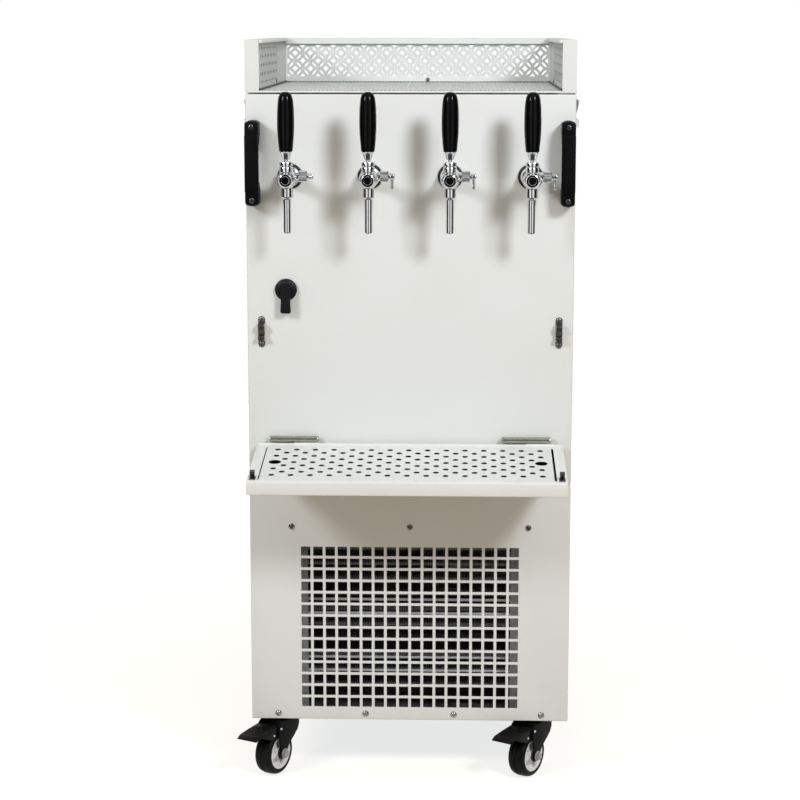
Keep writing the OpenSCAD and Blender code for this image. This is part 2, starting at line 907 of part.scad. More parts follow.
front_wheel_left();
front_wheel_right();
rear_wheel_left();
rear_wheel_right();
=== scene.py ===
# Draft beer dispenser on casters: finishes, small parts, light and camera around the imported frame
import bpy
import bmesh
import json
import math
from mathutils import Matrix, Vector


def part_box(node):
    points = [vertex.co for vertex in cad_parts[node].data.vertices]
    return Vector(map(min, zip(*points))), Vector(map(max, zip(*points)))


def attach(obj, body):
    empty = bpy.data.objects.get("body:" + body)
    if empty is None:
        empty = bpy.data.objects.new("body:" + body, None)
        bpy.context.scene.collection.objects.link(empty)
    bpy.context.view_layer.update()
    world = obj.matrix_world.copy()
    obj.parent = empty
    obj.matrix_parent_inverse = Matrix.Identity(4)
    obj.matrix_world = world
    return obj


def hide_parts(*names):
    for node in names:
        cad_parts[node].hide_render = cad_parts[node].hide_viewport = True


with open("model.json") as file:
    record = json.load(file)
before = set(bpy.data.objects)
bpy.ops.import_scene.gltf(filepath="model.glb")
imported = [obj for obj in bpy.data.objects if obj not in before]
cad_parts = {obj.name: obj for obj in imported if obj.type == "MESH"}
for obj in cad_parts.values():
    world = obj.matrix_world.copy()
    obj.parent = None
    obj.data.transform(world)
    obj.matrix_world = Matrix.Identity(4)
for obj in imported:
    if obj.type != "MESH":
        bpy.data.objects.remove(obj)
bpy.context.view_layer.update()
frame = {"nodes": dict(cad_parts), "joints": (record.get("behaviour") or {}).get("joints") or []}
nodes = frame["nodes"]
joints = {j["name"]: j for j in frame["joints"]}
scene = bpy.context.scene
scene.view_settings.view_transform = "Standard"
mil = 0.001  # every drawing below is in millimetres
print("frame loaded:", len(nodes), "nodes")


def boxMm(node):
    lo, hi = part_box(node)
    return lo / mil, hi / mil


def pivotMm(joint):
    return Vector(joints[joint]["pos_m"]) / mil


carcass = {"lidGap": 0.8, "barrel": 5.5, "plateHalf": (38.0, 31.0), "deckSheet": 3.5}
doorLo, doorHi = boxMm("door_panel")
panelLo, panelHi = boxMm("service_panel")
capsLo, capsHi = boxMm("tap_caps")
halfW, frontY, topZ = doorHi.x, doorLo.y, doorHi.z + carcass["lidGap"]
baseZ, doorZ, backY = panelLo.z, doorLo.z, boxMm("rear_panel")[1].y
tapZ = (capsLo.z + capsHi.z) / 2
tapXs = [sum(c.x for c in boxMm("tap_handle_%d" % i)) / 2 for i in (1, 2, 3, 4)]
hingeLo, hingeHi = boxMm("tray_hinge_fixed")
axisY, axisZ = hingeLo.y + carcass["barrel"], hingeHi.z - carcass["barrel"]
platesHi = boxMm("caster_plates")[1]
kingX, kingRear = platesHi.x - carcass["plateHalf"][0], platesHi.y - carcass["plateHalf"][1]
kingFront = pivotMm("caster_right_swivel").y
deckLo, deckHi = boxMm("lid_deck")
railTop = boxMm("gallery_sides")[1].z
plateZ = deckLo.z + carcass["deckSheet"]

turnOut = Matrix.Rotation(math.pi / 2, 4, "X")  # local z points out of the front
turnBack = Matrix.Rotation(-math.pi / 2, 4, "X")  # local z points out of the rear
turnSide = Matrix.Rotation(math.pi / 2, 4, "Y")  # local z points to the right
turnDown = Matrix.Rotation(math.pi, 4, "X")
layYz = Matrix(((0, 0, 1, 0), (1, 0, 0, 0), (0, 1, 0, 0), (0, 0, 0, 1)))  # a drawing in y and z, thick along x
move = Matrix.Translation
sides = ((-1, "left"), (1, "right"))


# shapes

def pour(bm, part):
    mesh = bpy.data.meshes.new("part")
    part.to_mesh(mesh)
    part.free()
    bm.from_mesh(mesh)
    bpy.data.meshes.remove(mesh)


def flow(points, per=5):  # smooth curve through the points of a profile
    out, last = [], len(points) - 1
    for i in range(last):
        a, b, c, d = points[max(i - 1, 0)], points[i], points[i + 1], points[min(i + 2, last)]
        for k in range(per):
            t = k / per
            out.append(tuple(max(0.0, 0.5 * (2 * q + (r - p) * t + (2 * p - 5 * q + 4 * r - s) * t * t
                                             + (3 * q - p - 3 * r + s) * t ** 3))
                             for p, q, r, s in zip(a, b, c, d)))
    return out + [tuple(points[-1])]


def braced(profile, near=0.6, least=3.0):  # rings close to its ends keep a long run straight in the light
    points = [profile[0]]
    for a, b in zip(profile, profile[1:]):
        span = math.hypot(b[0] - a[0], b[1] - a[1])
        if span > least:
            points += [(a[0] + (b[0] - a[0]) * s, a[1] + (b[1] - a[1]) * s) for s in (near / span, 1 - near / span)]
        points.append(b)
    return points


def around(steps):  # points of a circle of radius 1
    return [(math.cos(2 * math.pi * i / steps), math.sin(2 * math.pi * i / steps)) for i in range(steps)]


def bridge(bm, low, high):  # band of faces between two rings, a ring of one point is a pole
    for i in range(max(len(low), len(high))):
        corners = [low[i % len(low)], low[(i + 1) % len(low)], high[(i + 1) % len(high)], high[i % len(high)]]
        corners = list(dict.fromkeys(corners))
        if len(corners) > 2:
            bm.faces.new(corners)


def close(bm, part, where=Matrix()):  # a finished solid joins its piece
    bmesh.ops.recalc_face_normals(part, faces=part.faces)
    part.transform(where)
    if where.determinant() < 0:  # a mirrored drawing is turned right side out
        bmesh.ops.reverse_faces(part, faces=part.faces)
    pour(bm, part)


def boxOf(lo, hi):
    part = bmesh.new()
    bmesh.ops.create_cube(part, size=1)
    for v in part.verts:
        v.co = Vector([lo[k] if v.co[k] < 0 else hi[k] for k in range(3)])
    return part


def soften(part, edges, offset, steps):
    bmesh.ops.bevel(part, geom=edges, offset=offset, segments=steps, profile=0.5, affect="EDGES")


def addTurned(bm, profile, where, steps=40, loop=False, ridge=0.0):  # (radius, height) turned about local z
    part, rings = bmesh.new(), []
    for r, h in braced(profile):
        ring = around(steps)[:1 if r < 1e-5 else steps]
        rings.append([part.verts.new((r * (1 - ridge * (i % 2)) * c, r * (1 - ridge * (i % 2)) * s, h))
                      for i, (c, s) in enumerate(ring)])
    for low, high in zip(rings, rings[1:] + (rings[:1] if loop else [])):
        bridge(part, low, high)
    close(bm, part, where)


def addBlock(bm, lo, hi, soft=0.5, steps=2, where=Matrix()):
    part = boxOf(lo, hi)
    if soft:
        soften(part, part.edges[:], soft, steps)
    close(bm, part, where)


def addSheet(bm, outline, low, high, where, soft=0.4, steps=2):  # outline in local x, y
    part = bmesh.new()
    face = part.faces.new([part.verts.new((x, y, low)) for x, y in outline])
    for v in bmesh.ops.extrude_face_region(part, geom=[face])["geom"]:
        if isinstance(v, bmesh.types.BMVert):
            v.co.z = high
    if soft:
        soften(part, [e for e in part.edges if abs(e.verts[0].co.z - e.verts[1].co.z) < 1e-6], soft, steps)
    close(bm, part, where)


def addTube(bm, path, radius, steps=12):  # round bar or pipe along a path, ends closed
    part, rings, side = bmesh.new(), [], None
    path = [Vector(p) for p in path]
    for i, p in enumerate(path):
        along = (path[min(i + 1, len(path) - 1)] - path[max(i - 1, 0)]).normalized()
        if side is None:
            side = along.orthogonal().normalized()
        side = (side - along * side.dot(along)).normalized()
        other = along.cross(side)
        rings.append([part.verts.new(p + radius * (side * c + other * s)) for c, s in around(steps)])
    for low, high in zip(rings, rings[1:]):
        bridge(part, low, high)
    part.faces.new(rings[0])
    part.faces.new(rings[-1])
    close(bm, part)


def arc(cx, cy, r, start, end, steps=8):
    turns = [math.radians(start + (end - start) * i / steps) for i in range(steps + 1)]
    return [(cx + r * math.cos(a), cy + r * math.sin(a)) for a in turns]


def both(half, flip):  # a half outline and its mirror image
    return half + [tuple(a * b for a, b in zip(p, flip)) for p in half[::-1]]


def pin(r, low, high):  # profile of a plain round bar
    return [(0, low), (r, low), (r, high), (0, high)]


def ball(r, mid, steps):  # profile of a ball on the axis
    line = [(r * math.sin(math.pi * k / steps), mid - r * math.cos(math.pi * k / steps)) for k in range(steps + 1)]
    line[0], line[-1] = (0.0, mid - r), (0.0, mid + r)
    return line


def settle(mesh, material, crease):
    mesh.materials.clear()
    mesh.materials.append(material)
    mesh.shade_smooth()
    mesh.set_sharp_from_angle(angle=math.radians(crease))


def adopt(name, mesh, body, stands=()):
    obj = bpy.data.objects.new(name, mesh)
    scene.collection.objects.link(obj)
    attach(obj, body)
    if stands:
        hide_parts(*stands)
    return obj


def piece(name, bm, material, body, stands=(), crease=28):
    bmesh.ops.remove_doubles(bm, verts=bm.verts, dist=0.001)
    bm.transform(Matrix.Scale(mil, 4))
    mesh = bpy.data.meshes.new(name)
    bm.to_mesh(mesh)
    bm.free()
    settle(mesh, material, crease)
    return adopt(name, mesh, body, stands)


# finishes: shared effects

def tint(r, g, b):
    return tuple((c / 255 / 12.92 if c <= 10 else ((c / 255 + 0.055) / 1.055) ** 2.4) for c in (r, g, b)) + (1.0,)


def nodeTree(name, kind, inputs, outputs):  # an input is given by its first value, or by its kind alone
    tree = bpy.data.node_groups.new(name, kind)
    for label, value in inputs.items():
        plain = isinstance(value, str)
        socketKind = value if plain else {int: "Int", float: "Float", tuple: "Vector"}[type(value)]
        socket = tree.interface.new_socket(label, in_out="INPUT", socket_type="NodeSocket" + socketKind)
        if not plain:
            socket.default_value = value
    for label, socketKind in outputs.items():
        tree.interface.new_socket(label, in_out="OUTPUT", socket_type="NodeSocket" + socketKind)
    return tree, tree.nodes.new("NodeGroupInput"), tree.nodes.new("NodeGroupOutput")


def feed(tree, socket, value):  # a link, or a plain value on the socket itself
    if isinstance(value, bpy.types.NodeSocket):
        tree.links.new(value, socket)
    else:
        socket.default_value = value


def put(tree, kind, inputs=(), **settings):
    n = tree.nodes.new(kind)
    for key, value in settings.items():
        setattr(n, key, value)
    for key, value in dict(inputs).items():
        feed(tree, n.inputs[key], value)
    return n


def mathOf(tree, kind, a, b=0.0):
    return put(tree, "ShaderNodeMath", {0: a, 1: b}, operation=kind).outputs[0]


def mapped(tree, value, low, high, toLow=0.0, toHigh=1.0):
    return put(tree, "ShaderNodeMapRange", {"Value": value, "From Min": low, "From Max": high, "To Min": toLow,
                                            "To Max": toHigh}).outputs[0]


def mixed(tree, factor, first, second):
    return put(tree, "ShaderNodeMix", {0: factor, 6: first, 7: second}, data_type="RGBA").outputs[2]


def noise(tree, vector, scale, detail=2.0, rough=0.5, times=1.0):
    if times != 1.0:
        scale = mathOf(tree, "MULTIPLY", scale, times)
    return put(tree, "ShaderNodeTexNoise", {"Vector": vector, "Scale": scale, "Detail": detail,
                                            "Roughness": rough}).outputs[0]


def coords(tree, kind="Object"):
    return put(tree, "ShaderNodeTexCoord").outputs[kind]


def axes(tree, vector):
    return put(tree, "ShaderNodeSeparateXYZ", {0: vector}).outputs


def startEffect(name):
    tree, source, sink = nodeTree(name, "ShaderNodeTree",
                                  {"Vector": "Vector", "Scale": 100.0, "Stretch": (1.0, 1.0, 1.0)},
                                  {"Tone": "Float", "Gloss": "Float", "Height": "Float"})
    stretch = put(tree, "ShaderNodeVectorMath", {0: source.outputs["Vector"], 1: source.outputs["Stretch"]},
                  operation="MULTIPLY")
    return tree, stretch.outputs[0], source.outputs["Scale"], sink


def endEffect(tree, sink, tone, gloss, height):
    for key, value in (("Tone", tone), ("Gloss", gloss), ("Height", height)):
        tree.links.new(value, sink.inputs[key])
    return tree


def maskTree(name, inputs):
    tree, source, sink = nodeTree(name, "ShaderNodeTree", inputs, {"Mask": "Float"})
    return tree, source.outputs, sink.inputs["Mask"]


# powder coat: orange peel, slow clouds of tone
tree, at, size, sink = startEffect("peelEffect")
peelEffect = endEffect(tree, sink, mapped(tree, noise(tree, at, size, 3, 0.6, 0.008), 0.3, 0.7),
                       mapped(tree, noise(tree, at, size, 2, 0.5, 0.06), 0.3, 0.7),
                       noise(tree, at, size, 2, 0.45))

# moulded plastic: spark-eroded grain
tree, at, size, sink = startEffect("grainEffect")
cells = put(tree, "ShaderNodeTexVoronoi", {"Vector": at, "Scale": size})
grain = mathOf(tree, "ADD", cells.outputs["Distance"], noise(tree, at, size, 3, 0.6, 0.5))
grainEffect = endEffect(tree, sink, mapped(tree, noise(tree, at, size, 4, 0.6, 0.03), 0.3, 0.7),
                        mapped(tree, noise(tree, at, size, 3, 0.5, 0.1), 0.3, 0.7), grain)

# rolled or brushed metal: lines along one axis
tree, at, size, sink = startEffect("brushEffect")
lines = noise(tree, at, size, 4, 0.65)
brushEffect = endEffect(tree, sink, mapped(tree, noise(tree, at, size, 2, 0.5, 0.15), 0.3, 0.7),
                        mapped(tree, lines, 0.3, 0.7), lines)

# zinc coat: crystal flakes
tree, at, size, sink = startEffect("spangleEffect")
flake = put(tree, "ShaderNodeTexVoronoi", {"Vector": at, "Scale": size})
shade = put(tree, "ShaderNodeSeparateColor", {0: flake.outputs["Color"]})
spangleEffect = endEffect(tree, sink, shade.outputs[0], shade.outputs[1],
                          mathOf(tree, "ADD", flake.outputs["Distance"], noise(tree, at, size, 2, 0.5, 3.0)))

# polished plating: handling smudges and hairlines
tree, at, size, sink = startEffect("smudgeEffect")
smear = mapped(tree, noise(tree, at, size, 4, 0.7), 0.45, 0.75)
hair = put(tree, "ShaderNodeTexWave", {"Vector": at, "Scale": mathOf(tree, "MULTIPLY", size, 6.0), "Distortion": 9.0,
                                       "Detail": 3.0})
hairline = mapped(tree, hair.outputs["Fac"], 0.985, 1.0)
smudgeEffect = endEffect(tree, sink, smear, mathOf(tree, "MAXIMUM", smear, hairline),
                         noise(tree, at, size, 2, 0.5, 2.0))

# rubber and tread: dull patches, fine rolling scuffs
tree, at, size, sink = startEffect("scuffEffect")
patch = mapped(tree, noise(tree, at, size, 5, 0.65, 0.12), 0.42, 0.68)
scratch = mapped(tree, noise(tree, at, size, 2, 0.5, 1.4), 0.55, 0.75)
scuffEffect = endEffect(tree, sink, mathOf(tree, "MULTIPLY", patch, scratch), patch, noise(tree, at, size, 4, 0.6))

# dust lies on faces that look up, and low down by the floor
dust, given, mask = maskTree("settledDust", {"Vector": "Vector", "Amount": 0.2})
upward = mapped(dust, axes(dust, coords(dust, "Normal"))["Z"], 0.55, 1.0, 0.0, 0.7)
low = mapped(dust, axes(dust, given["Vector"])["Z"], 0.0, 0.32, 0.55, 0.0)
drift = mapped(dust, noise(dust, given["Vector"], 38.0, 5, 0.65), 0.35, 0.75)
heap = mathOf(dust, "MULTIPLY", mathOf(dust, "ADD", upward, low), drift)
dust.links.new(mathOf(dust, "MULTIPLY", heap, given["Amount"]), mask)

# punched sheet: faces that do not look along the sheet's own direction are cut edges
cutEdge, given, mask = maskTree("cutEdge", {"Facing": (0.0, 0.0, 1.0)})
along = put(cutEdge, "ShaderNodeVectorMath", {0: coords(cutEdge, "Normal"), 1: given["Facing"]},
            operation="DOT_PRODUCT").outputs["Value"]
cutEdge.links.new(mapped(cutEdge, mathOf(cutEdge, "ABSOLUTE", along), 0.4, 0.7, 1.0, 0.0), mask)

# lattice of circles: rims of its strips, the cell is one radius wide
latticeRim, given, mask = maskTree("latticeRim", {"Along": 0.0, "Up": 0.0, "Cell": 0.015, "Strip": 0.004,
                                                  "Rim": 0.0006, "Height": 0.06, "Length": 0.5})
folded = [mathOf(latticeRim, "PINGPONG", given[k], given["Cell"]) for k in ("Along", "Up")]
far = [mathOf(latticeRim, "SUBTRACT", given["Cell"], f) for f in folded]
gaps = []
for pair in (folded, far):
    squares = [mathOf(latticeRim, "MULTIPLY", v, v) for v in pair]
    reach = mathOf(latticeRim, "SQRT", mathOf(latticeRim, "ADD", *squares))
    gaps.append(mathOf(latticeRim, "ABSOLUTE", mathOf(latticeRim, "SUBTRACT", reach, given["Cell"])))
start = mathOf(latticeRim, "SUBTRACT", mathOf(latticeRim, "MULTIPLY", given["Strip"], 0.5), given["Rim"])
rims = mathOf(latticeRim, "GREATER_THAN", mathOf(latticeRim, "MINIMUM", *gaps), start)
for k, top in (("Along", "Length"), ("Up", "Height")):
    inside = mathOf(latticeRim, "MULTIPLY", mathOf(latticeRim, "GREATER_THAN", given[k], 0.0),
                    mathOf(latticeRim, "LESS_THAN", given[k], given[top]))
    rims = mathOf(latticeRim, "MULTIPLY", rims, inside)
latticeRim.links.new(rims, mask)

# inside of a hollow rail, given by its half widths about a middle point
hollow, given, mask = maskTree("hollow", {"Vector": "Vector", "Middle": "Vector", "Half": "Vector"})
place, middle, half = (axes(hollow, given[k]) for k in ("Vector", "Middle", "Half"))
inside = 1.0
for k in ("X", "Y", "Z"):
    spot = place[k] if k != "X" else mathOf(hollow, "ABSOLUTE", place[k])  # left and right alike
    off = mathOf(hollow, "ABSOLUTE", mathOf(hollow, "SUBTRACT", spot, middle[k]))
    inside = mathOf(hollow, "MULTIPLY", mathOf(hollow, "LESS_THAN", off, half[k]), inside)
hollow.links.new(inside, mask)


def within(tree, low, high):
    return put(tree, "ShaderNodeGroup", {"Vector": coords(tree), "Middle": (low + high) / 2 * mil,
                                         "Half": (high - low) / 2 * mil}, node_tree=hollow).outputs["Mask"]


def finish(name, effect, scale, colours, rough, bump, stretch=(1, 1, 1), dusty=0.0, **extra):
    mat = bpy.data.materials.new(name)
    mat.use_nodes = True
    tree = mat.node_tree
    at = coords(tree)
    look = put(tree, "ShaderNodeGroup", node_tree=effect, inputs={"Vector": at, "Scale": scale, "Stretch": stretch})
    lying = put(tree, "ShaderNodeGroup", node_tree=dust, inputs={"Vector": at, "Amount": dusty}).outputs["Mask"]
    colour = mixed(tree, look.outputs["Tone"], tint(*colours[0]), tint(*colours[1]))
    gloss = mapped(tree, look.outputs["Gloss"], 0.0, 1.0, *rough)
    relief = put(tree, "ShaderNodeBump", {"Height": look.outputs["Height"], "Strength": bump[0],
                                          "Distance": bump[1] * mil})
    surface = dict(extra, Base_Color=mixed(tree, lying, colour, tint(176, 168, 152)),
                   Roughness=mathOf(tree, "ADD", gloss, mathOf(tree, "MULTIPLY", lying, 0.5)),
                   Normal=relief.outputs["Normal"])
    for key, value in surface.items():
        feed(tree, tree.nodes["Principled BSDF"].inputs[key.replace("_", " ")], value)
    return mat


def darken(mat, mask, colour):  # a second tone over the finish, where the mask is 1
    tree = mat.node_tree
    paint = tree.nodes["Principled BSDF"].inputs["Base Color"]
    tree.links.new(mixed(tree, mask, paint.links[0].from_socket, tint(*colour)), paint)


creamPaint = finish("creamPaint", peelEffect, 700, ((232, 233, 228), (229, 230, 224)), (0.36, 0.46), (0.10, 0.25),
                    dusty=0.12)
trayPaint = finish("trayPaint", peelEffect, 760, ((238, 239, 233), (235, 236, 229)), (0.32, 0.42), (0.09, 0.22),
                   dusty=0.08)
gridPaint = finish("gridPaint", peelEffect, 760, ((234, 235, 229), (231, 232, 225)), (0.32, 0.42), (0.09, 0.22),
                   dusty=0.08)
# painted shade: the cut edges of the holes are painted near black so the holes read dark
edges = put(gridPaint.node_tree, "ShaderNodeGroup", node_tree=cutEdge)
darken(gridPaint, edges.outputs["Mask"], (14, 14, 13))
deckSteel = finish("deckSteel", brushEffect, 420, ((206, 209, 204), (182, 186, 181)), (0.30, 0.46), (0.12, 0.1),
                   stretch=(8, 0.4, 8), dusty=0.25, Metallic=0.9)
zincSheet = finish("zincSheet", spangleEffect, 90, ((120, 124, 126), (96, 100, 103)), (0.42, 0.6), (0.06, 0.1),
                   dusty=0.5, Metallic=0.85)
linerPlastic = finish("linerPlastic", grainEffect, 520, ((236, 237, 236), (226, 228, 228)), (0.34, 0.44), (0.08, 0.1),
                      dusty=0.05)
gasketRubber = finish("gasketRubber", scuffEffect, 300, ((196, 197, 194), (170, 171, 168)), (0.55, 0.7), (0.1, 0.15),
                      dusty=0.1)
tapChrome = finish("tapChrome", smudgeEffect, 120, ((226, 226, 227), (212, 214, 215)), (0.03, 0.08), (0.015, 0.05),
                   Metallic=1.0)
gripLacquer = finish("gripLacquer", smudgeEffect, 90, ((8, 8, 8), (13, 12, 11)), (0.10, 0.17), (0.02, 0.05),
                     Specular_IOR_Level=0.11)
pullPlastic = finish("pullPlastic", grainEffect, 900, ((7, 7, 8), (12, 12, 13)), (0.40, 0.52), (0.22, 0.12),
                     dusty=0.02, Specular_IOR_Level=0.09)
latchPlastic = finish("latchPlastic", grainEffect, 900, ((8, 8, 9), (14, 14, 15)), (0.40, 0.52), (0.22, 0.12),
                      dusty=0.02, Specular_IOR_Level=0.25)
flangeRubber = finish("flangeRubber", grainEffect, 700, ((14, 14, 15), (22, 22, 22)), (0.38, 0.5), (0.15, 0.1))
hingeSteel = finish("hingeSteel", brushEffect, 500, ((182, 181, 172), (162, 161, 152)), (0.19, 0.26), (0.03, 0.05),
                    stretch=(0.5, 9, 9), Metallic=1.0)
latchSteel = finish("latchSteel", brushEffect, 600, ((150, 150, 150), (116, 116, 116)), (0.25, 0.4), (0.12, 0.08),
                    stretch=(6, 6, 0.5), dusty=0.05, Metallic=1.0)
screwSteel = finish("screwSteel", smudgeEffect, 200, ((170, 168, 163), (124, 122, 118)), (0.12, 0.24), (0.03, 0.05),
                    Metallic=1.0)
pullScrewSteel = finish("pullScrewSteel", smudgeEffect, 200, ((104, 104, 106), (70, 70, 72)), (0.2, 0.34), (0.03, 0.05),
                        Metallic=1.0)
rollerNylon = finish("rollerNylon", grainEffect, 500, ((38, 27, 25), (54, 36, 33)), (0.36, 0.5), (0.1, 0.1))
# painted shade: near-black sheet that darkens the inside of the tray
panShade = finish("panShade", brushEffect, 240, ((38, 38, 37), (26, 26, 25)), (0.4, 0.55), (0.1, 0.1),
                  stretch=(0.4, 6, 6), Metallic=0.3)
finBlack = finish("finBlack", brushEffect, 300, ((14, 14, 15), (22, 22, 23)), (0.5, 0.7), (0.1, 0.1),
                  stretch=(4, 4, 0.4), dusty=0.15)
# pale tone: on the pipes across the fins it stands in as painted highlight
tubeSteel = finish("tubeSteel", brushEffect, 260, ((226, 228, 228), (204, 206, 206)), (0.28, 0.4), (0.06, 0.1),
                   stretch=(0.5, 6, 6), Metallic=0.35)
endPlateZinc = finish("endPlateZinc", spangleEffect, 130, ((206, 208, 208), (184, 186, 186)), (0.4, 0.55),
                      (0.05, 0.1), Metallic=0.25)
canEnamel = finish("canEnamel", peelEffect, 500, ((16, 16, 17), (24, 24, 24)), (0.25, 0.36), (0.15, 0.3), dusty=0.35)
casterBlack = finish("casterBlack", peelEffect, 800, ((7, 7, 8), (12, 12, 12)), (0.30, 0.42), (0.12, 0.15),
                     dusty=0.03, Specular_IOR_Level=0.06)
treadBlack = finish("treadBlack", scuffEffect, 420, ((8, 8, 8), (28, 27, 26)), (0.34, 0.56), (0.12, 0.12),
                    dusty=0.05, Specular_IOR_Level=0.1)
rimNylon = finish("rimNylon", grainEffect, 600, ((250, 250, 249), (240, 240, 239)), (0.26, 0.38), (0.08, 0.1),
                  dusty=0.08)
spigotPlastic = finish("spigotPlastic", grainEffect, 260, ((238, 238, 236), (226, 226, 224)), (0.22, 0.34), (0.05, 0.1),
                       Transmission_Weight=0.35, IOR=1.49)
axleZinc = finish("axleZinc", spangleEffect, 240, ((188, 188, 186), (160, 160, 158)), (0.38, 0.5), (0.05, 0.1),
                  Metallic=0.3)
motorZinc = finish("motorZinc", spangleEffect, 220, ((128, 130, 133), (104, 106, 110)), (0.38, 0.52), (0.08, 0.1),
                   dusty=0.3, Metallic=0.8)
bladeAlu = finish("bladeAlu", brushEffect, 320, ((176, 178, 180), (150, 152, 155)), (0.3, 0.45), (0.1, 0.08),
                  stretch=(3, 3, 0.5), dusty=0.25, Metallic=0.9)
evapAlu = finish("evapAlu", brushEffect, 260, ((196, 199, 201), (172, 176, 179)), (0.32, 0.48), (0.1, 0.1),
                 stretch=(0.5, 4, 4), Metallic=0.9)
glandNylon = finish("glandNylon", grainEffect, 800, ((20, 20, 21), (28, 28, 29)), (0.45, 0.58), (0.15, 0.1), dusty=0.1)
brassFitting = finish("brassFitting", smudgeEffect, 160, ((196, 160, 92), (168, 132, 70)), (0.18, 0.32), (0.02, 0.05),
                      dusty=0.05, Metallic=1.0)
print("finishes ready:", len(bpy.data.materials))


# growing trees for what repeats

def fieldTree(name, **inputs):
    return nodeTree(name, "GeometryNodeTree", dict(
        {"Geometry": "Geometry", "Shape": "Object", "Finish": "Material"},
        **{key.replace("_", " "): value for key, value in inputs.items()}), {"Geometry": "Geometry"})


def plant(tree, source, points, shape=None, **links):
    if shape is None:
        shape = put(tree, "GeometryNodeObjectInfo", {"Object": source.outputs["Shape"]}).outputs["Geometry"]
    return put(tree, "GeometryNodeInstanceOnPoints", dict(links, Points=points, Instance=shape))


def closeTree(tree, source, sink, instances):
    real = put(tree, "GeometryNodeRealizeInstances", {"Geometry": instances.outputs[0]})
    dressed = put(tree, "GeometryNodeSetMaterial", {"Geometry": real.outputs[0], "Material": source.outputs["Finish"]})
    tree.links.new(dressed.outputs[0], sink.inputs[0])


# rows and columns of one shape
rowField, source, sink = fieldTree("rowField", Columns=1, Rows=1, Start="Vector", Column_Step="Vector",
                                   Row_Step="Vector")
across = put(rowField, "GeometryNodeMeshLine", {"Count": source.outputs["Columns"],
                                                "Offset": source.outputs["Column Step"]}, mode="OFFSET")
oneRow = plant(rowField, source, across.outputs[0])
upRows = put(rowField, "GeometryNodeMeshLine", {"Count": source.outputs["Rows"],
                                                "Start Location": source.outputs["Start"],
                                                "Offset": source.outputs["Row Step"]}, mode="OFFSET")
closeTree(rowField, source, sink, plant(rowField, source, upRows.outputs[0], oneRow.outputs[0]))

# one shape spread round an axis
ringField, source, sink = fieldTree("ringField", Count=5)
hub = put(ringField, "GeometryNodeMeshLine", {"Count": source.outputs["Count"], "Offset": (0, 0, 0)}, mode="OFFSET")
share = mathOf(ringField, "DIVIDE", 2 * math.pi, source.outputs["Count"])
angle = mathOf(ringField, "MULTIPLY", put(ringField, "GeometryNodeInputIndex").outputs[0], share)
spun = put(ringField, "ShaderNodeCombineXYZ", {"Z": angle})
turned = put(ringField, "FunctionNodeEulerToRotation", {0: spun.outputs[0]})
closeTree(ringField, source, sink, plant(ringField, source, hub.outputs[0], Rotation=turned.outputs[0]))

# one shape on marked points, each facing its own way
pointField, source, sink = fieldTree("pointField", Size=1.0)
way = put(pointField, "GeometryNodeInputNamedAttribute", {"Name": "facing"}, data_type="FLOAT_VECTOR")
spin = put(pointField, "GeometryNodeInputNamedAttribute", {"Name": "spin"}, data_type="FLOAT")
first = put(pointField, "FunctionNodeAxisAngleToRotation", {"Angle": spin.outputs[0], "Axis": (0, 0, 1)})
aim = put(pointField, "FunctionNodeAlignRotationToVector", {"Rotation": first.outputs[0], "Vector": way.outputs[0]},
          axis="Z")
closeTree(pointField, source, sink, plant(pointField, source, source.outputs["Geometry"], Rotation=aim.outputs[0],
                                          Scale=source.outputs["Size"]))


def template(bm, solid=True):
    mesh = bpy.data.meshes.new("template")
    if solid:
        bmesh.ops.recalc_face_normals(bm, faces=bm.faces)
    bm.to_mesh(mesh)
    bm.free()
    obj = bpy.data.objects.new("template", mesh)
    scene.collection.objects.link(obj)
    return obj


def grow(name, tree, shape, values, material, body, slot, stands=(), points=None, where=Matrix(), crease=28):
    seed = bpy.data.meshes.new(name)
    if points:  # (place, facing, spin)
        seed.from_pydata([p[0] for p in points], [], [])
        seed.attributes.new("facing", "FLOAT_VECTOR", "POINT")
        seed.attributes.new("spin", "FLOAT", "POINT")
        for i, p in enumerate(points):
            seed.attributes["facing"].data[i].vector = p[1]
            seed.attributes["spin"].data[i].value = p[2]
    holder = bpy.data.objects.new(name + "Seed", seed)
    scene.collection.objects.link(holder)
    mod = holder.modifiers.new("grow", "NODES")
    mod.node_group = tree
    given = dict(values, Shape=shape, Finish=material)
    for item in tree.interface.items_tree:
        if item.item_type == "SOCKET" and item.in_out == "INPUT" and item.name in given:
            mod[item.identifier] = given[item.name]
    bpy.context.view_layer.update()
    mesh = bpy.data.meshes.new_from_object(holder.evaluated_get(bpy.context.evaluated_depsgraph_get()))
    mesh.name = name
    holder.modifiers.remove(mod)
    bpy.data.objects.remove(holder)
    bpy.data.objects.remove(shape)
    mesh.transform(where)
    mesh.transform(Matrix.Scale(mil, 4))
    settle(mesh, material, crease)
    return adopt(name, mesh, body, stands)


def rows(name, shape, counts, start, steps, material, body, slot, **extra):
    values = {"Columns": counts[0], "Rows": counts[1], "Start": start, "Column Step": steps[0], "Row Step": steps[1]}
    return grow(name, rowField, shape, values, material, body, slot, **extra)


def heads(name, shape, material, body, slot, marks, stands=()):  # screws or rivets
    return grow(name, pointField, shape, {"Size": 1.0}, material, body, slot, stands, points=marks)


# door: folded skin with soft bends

def bentFront(lo, hi, bend):  # sheet bent round its front edges, open behind
    part = boxOf(lo, hi)
    keep = set(e for f in part.faces if f.calc_center_median().y > hi.y - 0.01 for e in f.edges)
    soften(part, [e for e in part.edges if e not in keep], bend, 4)
    bmesh.ops.delete(part, geom=[f for f in part.faces if f.calc_center_median().y > hi.y - 0.01], context="FACES")
    return part


